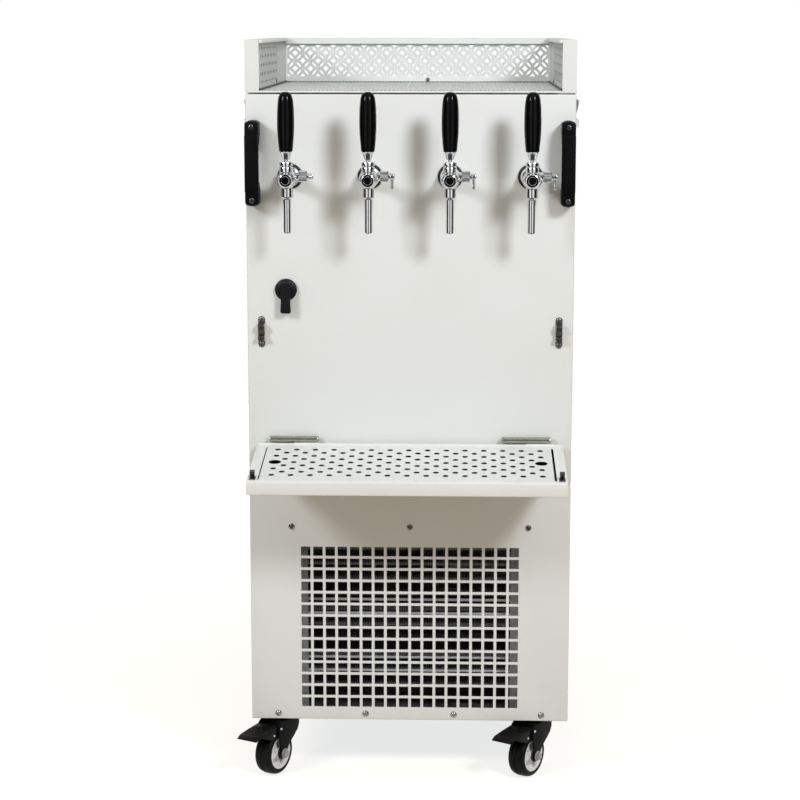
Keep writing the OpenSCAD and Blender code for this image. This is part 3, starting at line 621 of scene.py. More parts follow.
def cutWindow(part, face, halfX, axis, low, high):  # opening in one face, by its own limits
    bmesh.ops.inset_individual(part, faces=[face], thickness=4.0)
    for v in face.verts:
        v.co.x = math.copysign(halfX, v.co.x)
        v.co[axis] = low if v.co[axis] < (low + high) / 2 else high
    bmesh.ops.delete(part, geom=[face], context="FACES")


def walled(part, gauge, where=Matrix()):
    bmesh.ops.recalc_face_normals(part, faces=part.faces)
    bmesh.ops.solidify(part, geom=part.faces[:], thickness=gauge)
    part.transform(where)
    return part


doorSkin = {"bend": 2.4, "gauge": 1.4}
piece("doorSkin", walled(bentFront(doorLo, doorHi, doorSkin["bend"]), doorSkin["gauge"]), creamPaint, "door",
      ["door_panel"], crease=40)

# bellows gasket round the back of the door
gasket = {"inset": 20.0, "below": 20.0, "above": 16.0, "sink": 0.9, "ribs": ((-4.2, 1.0), (0.0, 1.15), (4.2, 1.0))}
bm = bmesh.new()
gx, gy = halfW - gasket["inset"], boxMm("door_liner")[1].y - gasket["sink"]
gz0, gz1 = doorLo.z + gasket["below"], doorHi.z - gasket["above"]
for off, r in gasket["ribs"]:
    loop = [(-gx - off, gz0 - off), (gx + off, gz0 - off), (gx + off, gz1 + off), (-gx - off, gz1 + off)]
    for (x0, z0), (x1, z1) in zip(loop, loop[1:] + loop[:1]):
        addTube(bm, [(x0, gy, z0), (x1, gy, z1)], r, 10)
piece("doorGasket", bm, gasketRubber, "door")

# service panel: folded frame and punched field

grille = {"columns": 18, "rows": 14, "spanX": 365.0, "spanZ": 275.0, "hole": 16.5, "low": 31.5, "edge": 0.35,
          "bend": 1.8, "gauge": 1.4}
pitchX, pitchZ = grille["spanX"] / (grille["columns"] - 1), grille["spanZ"] / (grille["rows"] - 1)
winX = grille["spanX"] / 2 + pitchX / 2
winLow = baseZ + grille["low"] - pitchZ / 2
part = bentFront(panelLo, panelHi, grille["bend"])
front = min(part.faces, key=lambda f: f.calc_center_median().y)
cutWindow(part, front, winX, 2, winLow, winLow + grille["spanZ"] + pitchZ)
piece("servicePanelFrame", walled(part, grille["gauge"]), creamPaint, "cabinet", ["service_panel"],
      crease=40)

cell = bmesh.new()
h, e, deep = grille["hole"] / 2, grille["edge"], grille["gauge"]
squares = [(pitchX / 2, pitchZ / 2, 0.0), (h + e, h + e, 0.0), (h, h, e), (h, h, deep), (pitchX / 2, pitchZ / 2, deep)]
rings = [[cell.verts.new((sx * x, y, sz * z)) for sx, sz in ((-1, -1), (1, -1), (1, 1), (-1, 1))]
         for x, z, y in squares]
for low, high in zip(rings, rings[1:]):
    bridge(cell, low, high)
for f in cell.faces:  # an open tile: front looks to -y, back to +y, walls into the hole
    f.normal_update()
    c = f.calc_center_median()
    want = Vector((-c.x, -0.2, -c.z))
    if c.y < 0.01 or c.y > deep - 0.01:
        want = Vector((0, -1 if c.y < 0.01 else 1, 0))
    if f.normal.dot(want) < 0:
        f.normal_flip()
rows("serviceGrille", template(cell, solid=False), (grille["columns"], grille["rows"]),
     (-grille["spanX"] / 2, frontY, baseZ + grille["low"]), ((pitchX, 0, 0), (0, 0, pitchZ)),
     creamPaint, "cabinet", "cream_paint")


# screws

def domeScrew(r, high, steps=16):  # pan head with a cross recess
    bm = bmesh.new()
    rings = [[bm.verts.new((r * k * c, r * k * s, z)) for c, s in around(steps)]
             for k, z in ((0.98, 0.0), (1.0, high * 0.25), (0.86, high * 0.7), (0.62, high))]
    for low, top in zip(rings, rings[1:]):
        bridge(bm, low, top)
    bm.faces.new(rings[0])
    w, l = r * 0.13, r * 0.48  # the cross is sunk into the flat of the head
    cross = [(w, w), (l, w), (l, -w), (w, -w), (w, -l), (-w, -l),
             (-w, -w), (-l, -w), (-l, w), (-w, w), (-w, l), (w, l)]
    rim = [bm.verts.new((x, y, high)) for x, y in cross]
    sunk = [bm.verts.new((x * 0.7, y * 0.7, high - r * 0.3)) for x, y in cross]
    bridge(bm, rim, sunk)
    bm.faces.new(sunk)
    edges = [bm.edges.get((a, b)) for ring in (rings[-1], rim) for a, b in zip(ring, ring[1:] + ring[:1])]
    bmesh.ops.triangle_fill(bm, edges=edges, use_beauty=True)
    return template(bm)


panelScrews = {"topZ": 351.0, "topXs": (-207, 0, 207), "lowZ": 11.0, "lowXs": (-233, -78, 78, 233), "radius": 5.6,
               "high": 2.8}
marks = [((x, frontY, baseZ + panelScrews[row + "Z"]), (0, -1, 0), first + more * i)
         for row, first, more in (("top", 0.5, 0.7), ("low", 0.2, 0.9)) for i, x in enumerate(panelScrews[row + "Xs"])]
heads("panelScrews", domeScrew(panelScrews["radius"], panelScrews["high"]), screwSteel, "cabinet", "screw_steel", marks,
      ["panel_screws"])
print("door and service panel done")

# taps

tap = {"neck": 88.0, "spout": 72.0, "valve": 62.0, "valveUp": pivotMm("flow_1_turn").z - tapZ}
bodies, spouts, caps, flanges, shanks = (bmesh.new() for _ in range(5))
thread = []
for k in range(32):
    thread += [(10.2, 6 + k * 2.0), (10.95, 7 + k * 2.0)]
for x in tapXs:
    spot = move((x, frontY, tapZ))
    out = spot @ turnOut
    up = spot @ move((0, -tap["neck"], 0))
    down = spot @ move((0, -tap["spout"], 0)) @ turnDown
    side = spot @ move((0, -tap["valve"], tap["valveUp"])) @ turnSide
    addTurned(bodies, [(0, 20), (9.6, 20), (9.8, 60), (10.6, 90), (11.0, 96), (11.0, 97.2), (10.6, 98), (10.6, 105),
                       (10.3, 105.9), (9.8, 106.1), (9.45, 105.8), (9.4, 105), (9.4, 100.5), (0, 100.5)], out, 48)
    addTurned(bodies, [(6.1, 106), (7.0, 106), (7.0, 107.7), (6.7, 107.95), (6.3, 107.9), (6.1, 107.5)], out, 40,
              loop=True)
    addTurned(bodies, ball(16, 80, 20), out, 48)
    addTurned(bodies, [(0, 9), (14.2, 9), (15.5, 10.3), (15.5, 22.6), (14.2, 24), (11.2, 24.4), (10.6, 26.5),
                       (0, 26.5)], out, 12)
    addTurned(bodies, [(0, 2), (9.8, 2), (9.8, 11.6), (10.9, 12.4), (11.2, 13.4), (11.2, 20.2), (10.8, 21.2),
                       (8.8, 21.4), (8.8, 22.8), (10.8, 23.0), (11.3, 23.5), (11.4, 24.3), (11.4, 28.0), (11.0, 29.1),
                       (10.2, 29.5), (9.4, 29.4), (9.0, 29.0), (9.0, 26.6), (6.6, 26.2), (6.6, 15), (0, 15)], up, 40)
    addTurned(bodies, [(0, 3), (8.0, 3), (7.5, 12), (7.5, 19), (8.6, 19.4), (0, 19.4)], side, 32)
    addTurned(bodies, [(0, 19), (8.8, 19), (9.6, 20), (9.6, 31.8), (8.8, 33), (6.4, 33.2), (0, 33.2)], side, 56,
              ridge=0.06)
    addTurned(bodies, [(0, 32.8), (6.4, 32.8), (6.4, 34.4), (5.8, 34.8), (0, 34.8)], side, 28)
    addTurned(bodies, [(0, 8), (7.2, 8), (7.0, 16), (6.5, 19), (0, 19)], down, 32)
    addTurned(spouts, [(0, 14), (9.0, 14), (9.6, 14.8), (9.6, 29.6), (9.2, 30.8), (8.0, 31.6), (7.0, 32.2), (6.7, 33.5),
                       (6.6, 60), (6.6, 88.8), (6.3, 89.8), (5.4, 90), (4.5, 89.6), (4.2, 88.6), (4.1, 36), (0, 36)],
              down, 40)
    addTurned(caps, [(0, 101), (9.3, 101), (9.3, 105.4), (8.9, 106.6), (8.0, 107.2), (6.6, 107.3), (5.9, 107.2),
                     (5.4, 106.5), (0, 106.3)], out, 40)
    addTurned(flanges, [(0, 0.02), (21.5, 0.02), (21.5, 2.2), (21.0, 3.4), (19.9, 4.0), (15.0, 4.0), (0, 4.0)], out, 56)
    addTurned(shanks, [(0, 3.0), (16.2, 3.9), (17.0, 4.4), (17.0, 7.0), (16.2, 8.2), (14.8, 8.7), (11.6, 8.9),
                       (11.0, 10), (0, 10)], out, 48)
    inward = spot @ turnBack
    addTurned(shanks, [(0, 4), (10.2, 4)] + thread + [
        (9.6, 72), (9.2, 76), (6.6, 76.5), (5.6, 80), (6.5, 83), (5.6, 83.4), (6.5, 88), (5.6, 88.4), (6.4, 93),
        (5.4, 93.4), (6.2, 98), (5.6, 100), (4.1, 100), (4.0, 90), (0, 90)], inward, 32)
    addTurned(shanks, [(0, 42.1), (17.6, 42.1), (19.4, 43.2), (19.4, 51), (17.6, 52), (0, 52)], inward, 6)
piece("tapBodies", bodies, tapChrome, "door", ["tap_bodies"], crease=24)
piece("tapSpouts", spouts, tapChrome, "door", ["tap_spouts"])
piece("tapCaps", caps, gripLacquer, "door", ["tap_caps"])
piece("shankFlanges", flanges, flangeRubber, "door", ["shank_flanges"])
piece("tapShanks", shanks, tapChrome, "door", ["tap_shanks"], crease=24)

grip = {"foot": 47.1, "outline": [(11.0, 0), (11.5, 2.5), (12.1, 9), (13.1, 20), (13.95, 34), (14.25, 47), (14.2, 59),
                                  (13.8, 70), (13.1, 79), (12.1, 86), (10.5, 91.6), (8.0, 95.4), (4.5, 97.5), (0, 98)]}
for i, x in enumerate(tapXs):
    number = str(i + 1)
    up = move((x, frontY - tap["neck"], tapZ))
    bm = bmesh.new()
    addTurned(bm, [(0, grip["foot"])] + [(r, grip["foot"] + h) for r, h in flow(grip["outline"], 4)], up, 48)
    piece("tapGrip" + number, bm, gripLacquer, "handle_" + number, ["tap_handle_" + number], crease=50)
    bm = bmesh.new()
    addTurned(bm, ball(5.8, 22, 12), up, 28)
    addTurned(bm, [(0, 24), (3.5, 24), (3.5, 33.6), (5.6, 34), (6.2, 34.7), (6.5, 36.2), (7.4, 39.2), (8.6, 42.8),
                   (9.8, 45.6), (10.3, 46.2), (10.3, 46.9), (9.9, 47.05), (0, 47.05)], up, 40)
    addTurned(bm, pin(1.95, -8.3, 8.3), up @ move((0, 0, 22)) @ turnSide, 16)
    piece("tapFerrule" + number, bm, tapChrome, "handle_" + number)

drop = {"waist": 3.0, "bob": 4.1, "reach": 18.0, "turns": (-90, 0, 0, 0)}
for i, x in enumerate(tapXs):
    number = str(i + 1)
    bm = bmesh.new()
    turn = Matrix.Rotation(math.radians(drop["turns"][i]), 4, "X")
    spin = move((x, frontY - tap["valve"], tapZ + tap["valveUp"])) @ turn
    addTurned(bm, [(0, 25.2), (3.9, 25.2), (3.9, 35.2), (5.0, 35.6), (5.6, 36.4), (5.6, 42.0), (5.0, 43.0), (3.6, 43.6),
                   (0, 43.8)], spin @ turnSide, 28)
    bob = arc(0, -drop["reach"], drop["bob"], 150, 390, 14)
    stem = [(drop["waist"], -9), (2.9, 0), (-2.9, 0), (-drop["waist"], -9)]
    addSheet(bm, bob + stem, 36.8, 41.8, spin @ layYz, 1.5, 3)
    piece("flowLever" + number, bm, tapChrome, "flow_" + number, ["flow_lever_" + number], crease=40)
print("taps done")

# pull handles: bar over two feet

pull = {"length": 144.0, "wide": 23.0, "out": 42.6, "foot": 38.6, "pad": 22.5, "below": 44.0, "inset": 25.0,
        "arch": 3.2, "archEnd": 9.0, "corner": 3.5, "screwUp": 10.5}
bm, screwMarks = bmesh.new(), []
length, half, pad, corner = pull["length"], pull["wide"] / 2, pull["pad"], pull["corner"]
low = topZ - pull["below"] - length
middles = [side * (halfW - pull["inset"] + half) for side in (-1, 1)]
foot = [(0, 0)] + arc(pull["foot"] - 9, 9, 9, -90, 0, 6) + [(pull["foot"], pad + 4), (28, pad + 6)] \
    + arc(21, pad + 9.5, 6, 90, 180, 5)[::-1] + [(0, pad + 4)]
bar = arc(pull["out"] - corner, pad + corner, corner, -90, 0, 4) \
    + arc(pull["out"] - corner, length - pad - corner, corner, 0, 90, 4) \
    + [(29, length - pad), (27, length - pad - 3), (27, pad + 3), (29, pad)]
for xMid in middles:
    where = Matrix(((0, 0, 1, xMid), (-1, 0, 0, frontY), (0, 1, 0, low), (0, 0, 0, 1)))
    addSheet(bm, foot, -half, half, where, 2.2, 3)
    addSheet(bm, [(a, length - b) for a, b in foot][::-1], -half, half, where, 2.2, 3)
    addSheet(bm, bar, -half - 0.2, half + 0.2, where, 2.6, 4)
    for z in (pull["screwUp"], length - pull["screwUp"]):
        screwMarks.append(((xMid, frontY - pull["foot"] - 0.05, low + z), (0, -1, 0), 0.4 + z * 0.01))
for xMid in middles:  # the ends are arched across their width
    for k in range(-4, 5):
        bmesh.ops.bisect_plane(bm, geom=bm.verts[:] + bm.edges[:] + bm.faces[:], dist=1e-4,
                               plane_co=(xMid + k * 2.4, 0, 0), plane_no=(1, 0, 0))
    for v in bm.verts:
        if v.co.x * xMid > 0:
            bow = pull["arch"] * ((v.co.x - xMid) / pull["wide"] * 2) ** 2
            lower, upper = (min(1, max(0, 1 - d / pull["archEnd"])) for d in (v.co.z - low, low + length - v.co.z))
            v.co.z += bow * (lower - upper)
piece("pullHandles", bm, pullPlastic, "door", ["pull_handles"], crease=35)
heads("pullScrews", domeScrew(4.6, 1.6), pullScrewSteel, "door", "screw_steel", screwMarks)

# turning latch

latchLo, latchHi = boxMm("latch_base")
latchOut = move(((latchLo.x + latchHi.x) / 2, frontY, (latchLo.z + latchHi.z) / 2)) @ turnOut
bm = bmesh.new()
addTurned(bm, [(0, -40), (9.8, -40), (9.8, -0.5), (19, 0.02), (19, 3.6), (18.2, 5.4), (16.4, 6.6), (14.2, 7.2),
               (13.6, 8.0), (0, 8.0)], latchOut, 48)
piece("latchBase", bm, latchPlastic, "door", ["latch_base"])
bm = bmesh.new()
addTurned(bm, [(0, 8.3), (12.6, 8.3), (13, 9), (12.8, 11.4), (11.6, 12), (0, 12)], latchOut, 40)
halfPaddle = [(6.6, 14), (7.8, 12.8), (8.1, 8), (7.9, -18), (8.9, -36.6), (8.4, -38.4), (7.0, -39.4)]
addSheet(bm, both(halfPaddle, (-1, 1)), 9.2, 17.8, latchOut, 1.7, 4)
for z in (-27.0, -30.4, -33.8):
    addBlock(bm, (-6.0, z - 0.7, 17.3), (6.0, z + 0.7, 18.2), 0.4, 2, latchOut)
addTurned(bm, pin(5.9, -51, 9), latchOut, 24)
piece("latchLever", bm, latchPlastic, "latch", ["latch_lever"], crease=40)

# roller catches: folded bracket, two rollers, two screws

catch = {"inset": 6.2, "screwZ": 21.3, "rollerZ": 9.8, "rollerOut": 10.0, "cheek": 5.0}
catchLo, catchHi = boxMm("roller_catches")
catchX, catchZ = catchHi.x - catch["inset"], (catchLo.z + catchHi.z) / 2
brackets, rollers, screwMarks = bmesh.new(), bmesh.new(), []
plate = arc(0, catch["screwZ"], 5.9, 0, 180, 14) + arc(0, -catch["screwZ"], 5.9, 180, 360, 14)
cheek = [(0, -15.5), (0, 15.5), (4, 15.5)] + arc(catch["rollerOut"], catch["rollerZ"], 5, 80, -40, 8) \
    + [(9, 3), (9, -3)] + arc(catch["rollerOut"], -catch["rollerZ"], 5, 40, -80, 8) + [(4, -15.5)]
for x in (-catchX, catchX):
    spot = move((x, frontY, catchZ))
    addSheet(brackets, plate, 0.02, 1.6, spot @ turnOut, 0.3, 1)
    for s in (-1, 1):
        where = spot @ (move((s * catch["cheek"], 0, 0)) @ layYz)
        addSheet(brackets, [(-a, b) for a, b in cheek], -0.6, 0.6, where, 0.2, 1)
    for z in (-catch["rollerZ"], catch["rollerZ"]):
        addTurned(rollers, both([(0, -4.2), (3.6, -4.2), (4.3, -3.6), (4.6, -2.5)], (1, -1)),
                  spot @ move((0, -catch["rollerOut"], z)) @ turnSide, 24)
    screwMarks += [((x, frontY - 1.5, catchZ + z), (0, -1, 0), 0.3 + 0.02 * z)
                   for z in (-catch["screwZ"], catch["screwZ"])]
piece("catchBrackets", brackets, hingeSteel, "door", ["roller_catches"])
piece("catchRollers", rollers, rollerNylon, "door")
heads("catchScrews", domeScrew(5.0, 2.0), latchSteel, "door", "screw_steel", screwMarks)

# tray hinges: two-part barrels

hinge = {"at": 201.0, "half": 42.7, "start": 43.0, "play": 0.3, "tilt": 6.6}
bm, leaves = bmesh.new(), bmesh.new()
barrel = [(0, 0), (4.0, 0), (5.1, 1.0), (carcass["barrel"], 2.2), (carcass["barrel"], 41.9), (5.1, 42.5),
          (0, hinge["half"])]
screwMarks = []
for x in (-hinge["at"] - hinge["start"], hinge["at"] - hinge["start"]):
    spot = move((x, axisY, axisZ))
    addTurned(bm, barrel, spot @ turnSide, 32)
    addTurned(bm, pin(2.9, 40, 84), spot @ turnSide, 20)
    addBlock(leaves, (0, 0, -2), (hinge["half"], 7.9, 1.6), 0.5, 2, spot)
    addBlock(leaves, (0, 6.1, -34), (hinge["half"], 7.98, 0.6), 0.5, 2, spot)
    screwMarks += [((x + d, frontY - 1.9, axisZ - 22), (0, -1, 0), 0.3 * d) for d in (9, 33)]
piece("trayHingeFixed", bm, hingeSteel, "door", ["tray_hinge_fixed"])
piece("doorHingeLeaves", leaves, creamPaint, "door")
heads("hingeScrews", domeScrew(3.4, 1.4), screwSteel, "door", "screw_steel", screwMarks)

trayFrame = move((0, axisY, axisZ)) @ Matrix.Rotation(math.radians(hinge["tilt"]), 4, "X")
bm, leaves = bmesh.new(), bmesh.new()
for x in (-hinge["at"] + hinge["play"], hinge["at"] + hinge["play"]):
    spot = trayFrame @ move((x, 0, 0))
    addTurned(bm, [(r, hinge["half"] - h) for r, h in barrel[::-1]], spot @ turnSide, 32)
    addBlock(leaves, (0, -5.5, -28), (hinge["half"], -3.6, -5.2), 0.5, 2, spot)
piece("trayHingeMoving", bm, hingeSteel, "tray", ["tray_hinge_moving"])
addBlock(leaves, (-262, -5.6, -14), (262, -3.4, -6.4), 0.8, 2, trayFrame)  # rear lip of the pan
piece("trayHingeLeaves", leaves, trayPaint, "tray")

# drip tray: pressed pan with rolled rim

tray = {"half": 265.0, "front": -205.5, "back": -5.5, "rim": -9.0, "floor": -33.0, "winX": 247.0, "winFront": -193.5,
        "winBack": -17.5, "soft": 2.0, "gauge": 1.4}
part = boxOf((-tray["half"], tray["front"], tray["floor"]), (tray["half"], tray["back"], tray["rim"]))
soften(part, part.edges[:], tray["soft"], 4)
top = max(part.faces, key=lambda f: f.calc_center_median().z)
cutWindow(part, top, tray["winX"], 1, tray["winFront"], tray["winBack"])
piece("dripTray", walled(part, tray["gauge"], trayFrame), trayPaint, "tray", ["drip_tray"], crease=40)

shadeLining = {"gauge": 0.2, "wall": 18.0, "clear": 1.6, "up": 1.45}  # a thin dark sheet inside the pan, painted shade so the grid holes read dark
bm = bmesh.new()
thin, clear, foot = shadeLining["gauge"], shadeLining["clear"], tray["floor"] + shadeLining["up"]
lo = (-tray["half"] + clear, tray["front"] + clear, foot)
hi = (tray["half"] - clear, tray["back"] - clear, foot + shadeLining["wall"])
addBlock(bm, lo, (hi[0], hi[1], lo[2] + thin), 0, 1, trayFrame)
for x in (lo[0], hi[0] - thin):
    addBlock(bm, (x, lo[1], lo[2]), (x + thin, hi[1], hi[2]), 0, 1, trayFrame)
for y in (lo[1], hi[1] - thin):
    addBlock(bm, (lo[0], y, lo[2]), (hi[0], y + thin, hi[2]), 0, 1, trayFrame)
piece("trayLining", bm, panShade, "tray")

bm = bmesh.new()
halfSpear = [(1.4, 0.8), (1.6, 4.6), (3.9, 7.2), (4.6, 9.6), (3.9, 12.0), (1.6, 14.2)]
spear = [(-y, z) for y, z in halfSpear] + [(0, 14.6)] + halfSpear[::-1]
for x in (-catchX, catchX):
    spot = trayFrame @ move((x, -186.5, tray["rim"]))
    addBlock(bm, (-5.4, -9, 0), (5.4, 9, 1.2), 0.4, 2, spot)
    addSheet(bm, spear, -4.0, 4.0, spot @ layYz, 0.3, 1)
    for y in (-6, 6):
        addTurned(bm, [(0, 1.1), (2.2, 1.1), (2.1, 1.8), (1.3, 2.3), (0, 2.4)], spot @ move((0, y, 0)), 16)
piece("trayStrikes", bm, pullScrewSteel, "tray", ["tray_strikes"])

bm = bmesh.new()
spot = trayFrame @ move((0, tray["front"] + 100, tray["floor"])) @ turnDown
addTurned(bm, [(6.0, -2), (8.0, -2), (8.0, 0.02), (12.4, 0.02), (13, 0.6), (13, 3.4), (12.4, 4), (9, 4.4), (8.7, 6),
               (8.6, 14), (9, 15), (8.3, 19), (9, 19.6), (8.3, 24), (8.9, 24.6), (8.2, 29.4), (7.6, 30), (6.2, 30),
               (6.0, 29.4)], spot, 36, loop=True)
piece("drainSpigot", bm, spigotPlastic, "tray", ["drain_spigot"])
print("front fittings done")

# lid: cream frame with a ribbed steel insert, gallery screws

deck = {"lip": 4.0, "pitch": 7.0, "frame": 14.0, "wall": 24.0}
bm = bmesh.new()
wide, top, wallX = deck["frame"], plateZ - 0.05, halfW - deck["wall"]
addBlock(bm, (-halfW, deckLo.y, deckLo.z), (halfW, deckLo.y + wide, top), 0.9, 3)
addBlock(bm, (-halfW, deckHi.y - wide, deckLo.z), (halfW, deckHi.y, top), 0.9, 3)
for side in (-1, 1):
    ends = sorted((side * halfW, side * (halfW - wide)))
    addBlock(bm, (ends[0], deckLo.y + 13.5, deckLo.z), (ends[1], deckHi.y - 13.5, top), 0.9, 3)
piece("deckFrame", bm, creamPaint, "lid", ["lid_deck"])
bm = bmesh.new()
addBlock(bm, (-halfW + 13, deckLo.y + 3, plateZ - 1.4), (halfW - 13, deckHi.y - 13, plateZ + 0.15), 0.3, 1)
piece("deckSheet", bm, deckSteel, "lid")
rib = bmesh.new()
profile = [(-2.2, 0.0), (-1.5, 0.7), (-0.8, 1.1), (0.0, 1.2), (0.8, 1.1), (1.5, 0.7), (2.2, 0.0)]
ends = [[rib.verts.new((x, y, z)) for x, z in profile] for y in (deckLo.y + deck["lip"], deckHi.y - wide)]
bridge(rib, *ends)
for end in ends:
    rib.faces.new(end)
count = int((2 * wallX - 14) // deck["pitch"])
rows("deckRibs", template(rib), (count, 1), (-(count - 1) * deck["pitch"] / 2, 0, plateZ + 0.1),
     ((deck["pitch"], 0, 0), (0, 0, 1)), deckSteel, "lid", "stainless", crease=40)
gallery = {"up": 8.0, "boundary": 356.0}
marks = [((20, backY - 1.5, plateZ + 5), (0, -1, 0), 0.4)]
for side in (-1, 1):
    marks.append(((side * wallX, deckLo.y + gallery["boundary"] - 16, plateZ + gallery["up"]), (-side, 0, 0), 0.6))
heads("galleryScrews", domeScrew(4.0, 1.8), screwSteel, "lid", "screw_steel", marks)

shadeStrip = {"wide": 2.2, "high": 3.4}  # black strip under the rails and along the back, painted shade where the rails meet the deck
bm, caps = bmesh.new(), bmesh.new()
for side in (-1, 1):
    ends = sorted((side * (wallX - 0.05), side * (wallX - shadeStrip["wide"])))
    addBlock(bm, (ends[0], deckLo.y + 1.5, plateZ + 0.1), (ends[1], backY - 3, plateZ + shadeStrip["high"]), 0.3, 1)
    ends = sorted((side * (wallX - 6), side * (wallX - 0.05)))
    addBlock(caps, (ends[0], deckLo.y + 0.6, railTop - 6), (ends[1], backY - 14, railTop - 0.2), 0.8, 2)
addBlock(bm, (-wallX + 1.7, backY - 2.8, plateZ + 0.1), (wallX - 1.7, backY - 1.6, plateZ + 1.5), 0.2, 1)
piece("gallerySeal", bm, flangeRubber, "lid")
piece("railCaps", caps, creamPaint, "lid")

# gallery paint: strips painted pale as painted light with dark rims behind as painted shade; at the sides painted shade
# in the hollows and under the caps, and a dark line along the joint
lattice = {"strip": 4.0, "cell": 15.0, "foot": 11.5, "rows": 4, "rim": 0.7, "paintedLight": (248, 249, 245),
           "dark": (36, 37, 34), "margin": 6.0}
galleryBack = finish("galleryBack", peelEffect, 700, ((236, 237, 232), (233, 234, 228)), (0.36, 0.46), (0.10, 0.25),
                     dusty=0.1)
gallerySide = finish("gallerySide", peelEffect, 700, ((232, 233, 228), (229, 230, 224)), (0.36, 0.46), (0.10, 0.25),
                     dusty=0.1)
span = 2 * wallX - lattice["margin"]
cells = round(span / lattice["cell"] / 2) * 2
backCell = span / cells
latticeFoot = (plateZ + lattice["foot"]) * mil
tree = galleryBack.node_tree
place = axes(tree, coords(tree))
# painted light: the lattice strips are painted paler than the sheet; painted shade: their rims are painted dark
for rim, colour in ((lattice["strip"], lattice["paintedLight"]), (lattice["rim"], lattice["dark"])):
    sizes = {"Cell": backCell, "Strip": lattice["strip"], "Rim": rim, "Height": lattice["rows"] * backCell,
             "Length": cells * backCell}
    rims = put(tree, "ShaderNodeGroup", dict(
        {key: value * mil for key, value in sizes.items()}, Up=mathOf(tree, "SUBTRACT", place["Z"], latticeFoot),
        Along=mathOf(tree, "SUBTRACT", place["X"], -cells * backCell / 2 * mil)), node_tree=latticeRim)
    darken(galleryBack, rims.outputs["Mask"], colour)

rail = {"wall": 1.6, "skin": 0.15, "clear": 0.7, "hollowShade": (26, 26, 24), "row": (2.6, 3.6)}
shade = {"foot": 26.0, "cap": 6.0, "least": 0.2, "most": 0.8, "joint": 2.6, "colour": (66, 72, 67)}
tree = gallerySide.node_tree
place = axes(tree, coords(tree))
clear = Vector((rail["clear"],) * 3)
low, high = Vector((wallX, deckLo.y, plateZ)) + clear, Vector((halfW, backY, railTop)) - clear
voidX, skinX = wallX + rail["wall"], wallX + rail["skin"]
# painted shade: the inside of the hollow rail is painted near black
darken(gallerySide, within(tree, Vector((voidX, low.y, low.z)), high), rail["hollowShade"])
edge = within(tree, Vector((skinX, low.y, low.z)), Vector((voidX, high.y, high.z)))
level = mathOf(tree, "PINGPONG", mathOf(tree, "SUBTRACT", place["Z"], latticeFoot), lattice["cell"] / 2 * mil)
row = mapped(tree, level, rail["row"][0] * mil, rail["row"][1] * mil, 1.0, 0.0)  # the wide openings lie on the rows, painted dark there as shade
darken(gallerySide, mathOf(tree, "MULTIPLY", edge, row), rail["hollowShade"])
# painted shade in a band under the caps, plus a dark line along the joint
inside = within(tree, Vector((wallX - 0.5, low.y, plateZ)), Vector((skinX, backY, railTop)))
fromJoint = mathOf(tree, "ABSOLUTE", mathOf(tree, "SUBTRACT", place["Y"], (deckLo.y + gallery["boundary"]) * mil))
joint = mapped(tree, fromJoint, 0.5 * shade["joint"] * mil, shade["joint"] * mil, shade["most"], 0.0)
upper = mapped(tree, place["Z"], (railTop - shade["foot"]) * mil, (railTop - shade["cap"]) * mil, shade["least"],
               shade["most"])
darken(gallerySide, mathOf(tree, "MULTIPLY", inside, mathOf(tree, "MAXIMUM", joint, upper)), shade["colour"])

# side toggles

toggleLo, toggleHi = boxMm("toggle_lever_right")
toggleY, toggleZ = (toggleLo.y + toggleHi.y) / 2, toggleLo.z + 3.2
halfBail = [(-2.4, -7, 20), (-3.4, -7, 32), (-3.6, -7, 43), (-3.0, -6.4, 47)]
bail = both(halfBail, (1, -1, 1))
for side, name in sides:
    bm = bmesh.new()
    spot = move((side * (halfW + 5), toggleY, toggleZ)) @ Matrix.Rotation(0 if side > 0 else math.pi, 4, "Z")
    addTurned(bm, pin(3.2, -12, 12), spot @ turnOut, 20)
    addSheet(bm, [(-3.4, -2), (-2.0, -2), (-2.6, 14), (-3.8, 14)], -8, 8, spot @ turnOut, 0.3, 1)
    addSheet(bm, [(-4.4, 10), (-2.8, 9.4), (3.6, 36.6), (3.8, 38.4), (2.4, 38.8), (0.2, 41), (-1.0, 40.4), (-4.0, 32)],
             -9, 9, spot @ turnOut, 0.4, 2)
    addTube(bm, [spot @ Vector(p) for p in bail], 1.2, 10)
    piece("toggleLever_" + name, bm, latchSteel, "toggle_" + name, ["toggle_lever_" + name])
print("lid and toggles done")

# casters, drawn at their kingpin

axlePin, pedalPin, kingPin = (pivotMm(n) for n in ("wheel_front_left_spin", "pedal_left_press", "caster_left_swivel"))
caster = {"trail": (axlePin - kingPin).xy.length, "axle": axlePin.z, "pedal": (pedalPin - kingPin).xy.length,
          "pedalDown": 18.0, "crown": 6.4, "spokes": 5}
trail, axleUp, pedalBack = caster["trail"], caster["axle"], caster["pedal"]
crown, pedalZ = baseZ - caster["crown"], baseZ - caster["pedalDown"]
forkLine = [(12, crown), (14.6, crown - 5), (14.8, crown - 16), (10, crown - 26), (0, axleUp + 26),
            (-trail + 21, axleUp + 16), (-trail + 13, axleUp + 8)] + arc(-trail, axleUp, 9.8, 12, -200, 14) \
    + [(-trail - 11.5, axleUp + 14), (-pedalBack - 6, baseZ - 30), (-pedalBack - 6.6, baseZ - 20),
       (-pedalBack - 5.5, baseZ - 12), (-pedalBack - 1, crown - 2), (-trail - 4, crown)]


def forkOf(bm, king):
    addTurned(bm, [(0, crown - 2.2), (24, crown - 2.2), (25, crown - 1), (25, crown + 2), (24, crown + 3),
                   (0, crown + 3)], king, 48)
    addBlock(bm, (-23, -trail - 4, crown - 2.2), (23, 16, crown), 0.8, 2, king)
    addBlock(bm, (-20.7, -trail - 4, crown - 9), (20.7, -trail - 2, crown - 1), 0.4, 2, king)
    for x in (-23, 20.5):
        addSheet(bm, forkLine, x, x + 2.5, king @ layYz, 0.7, 3)


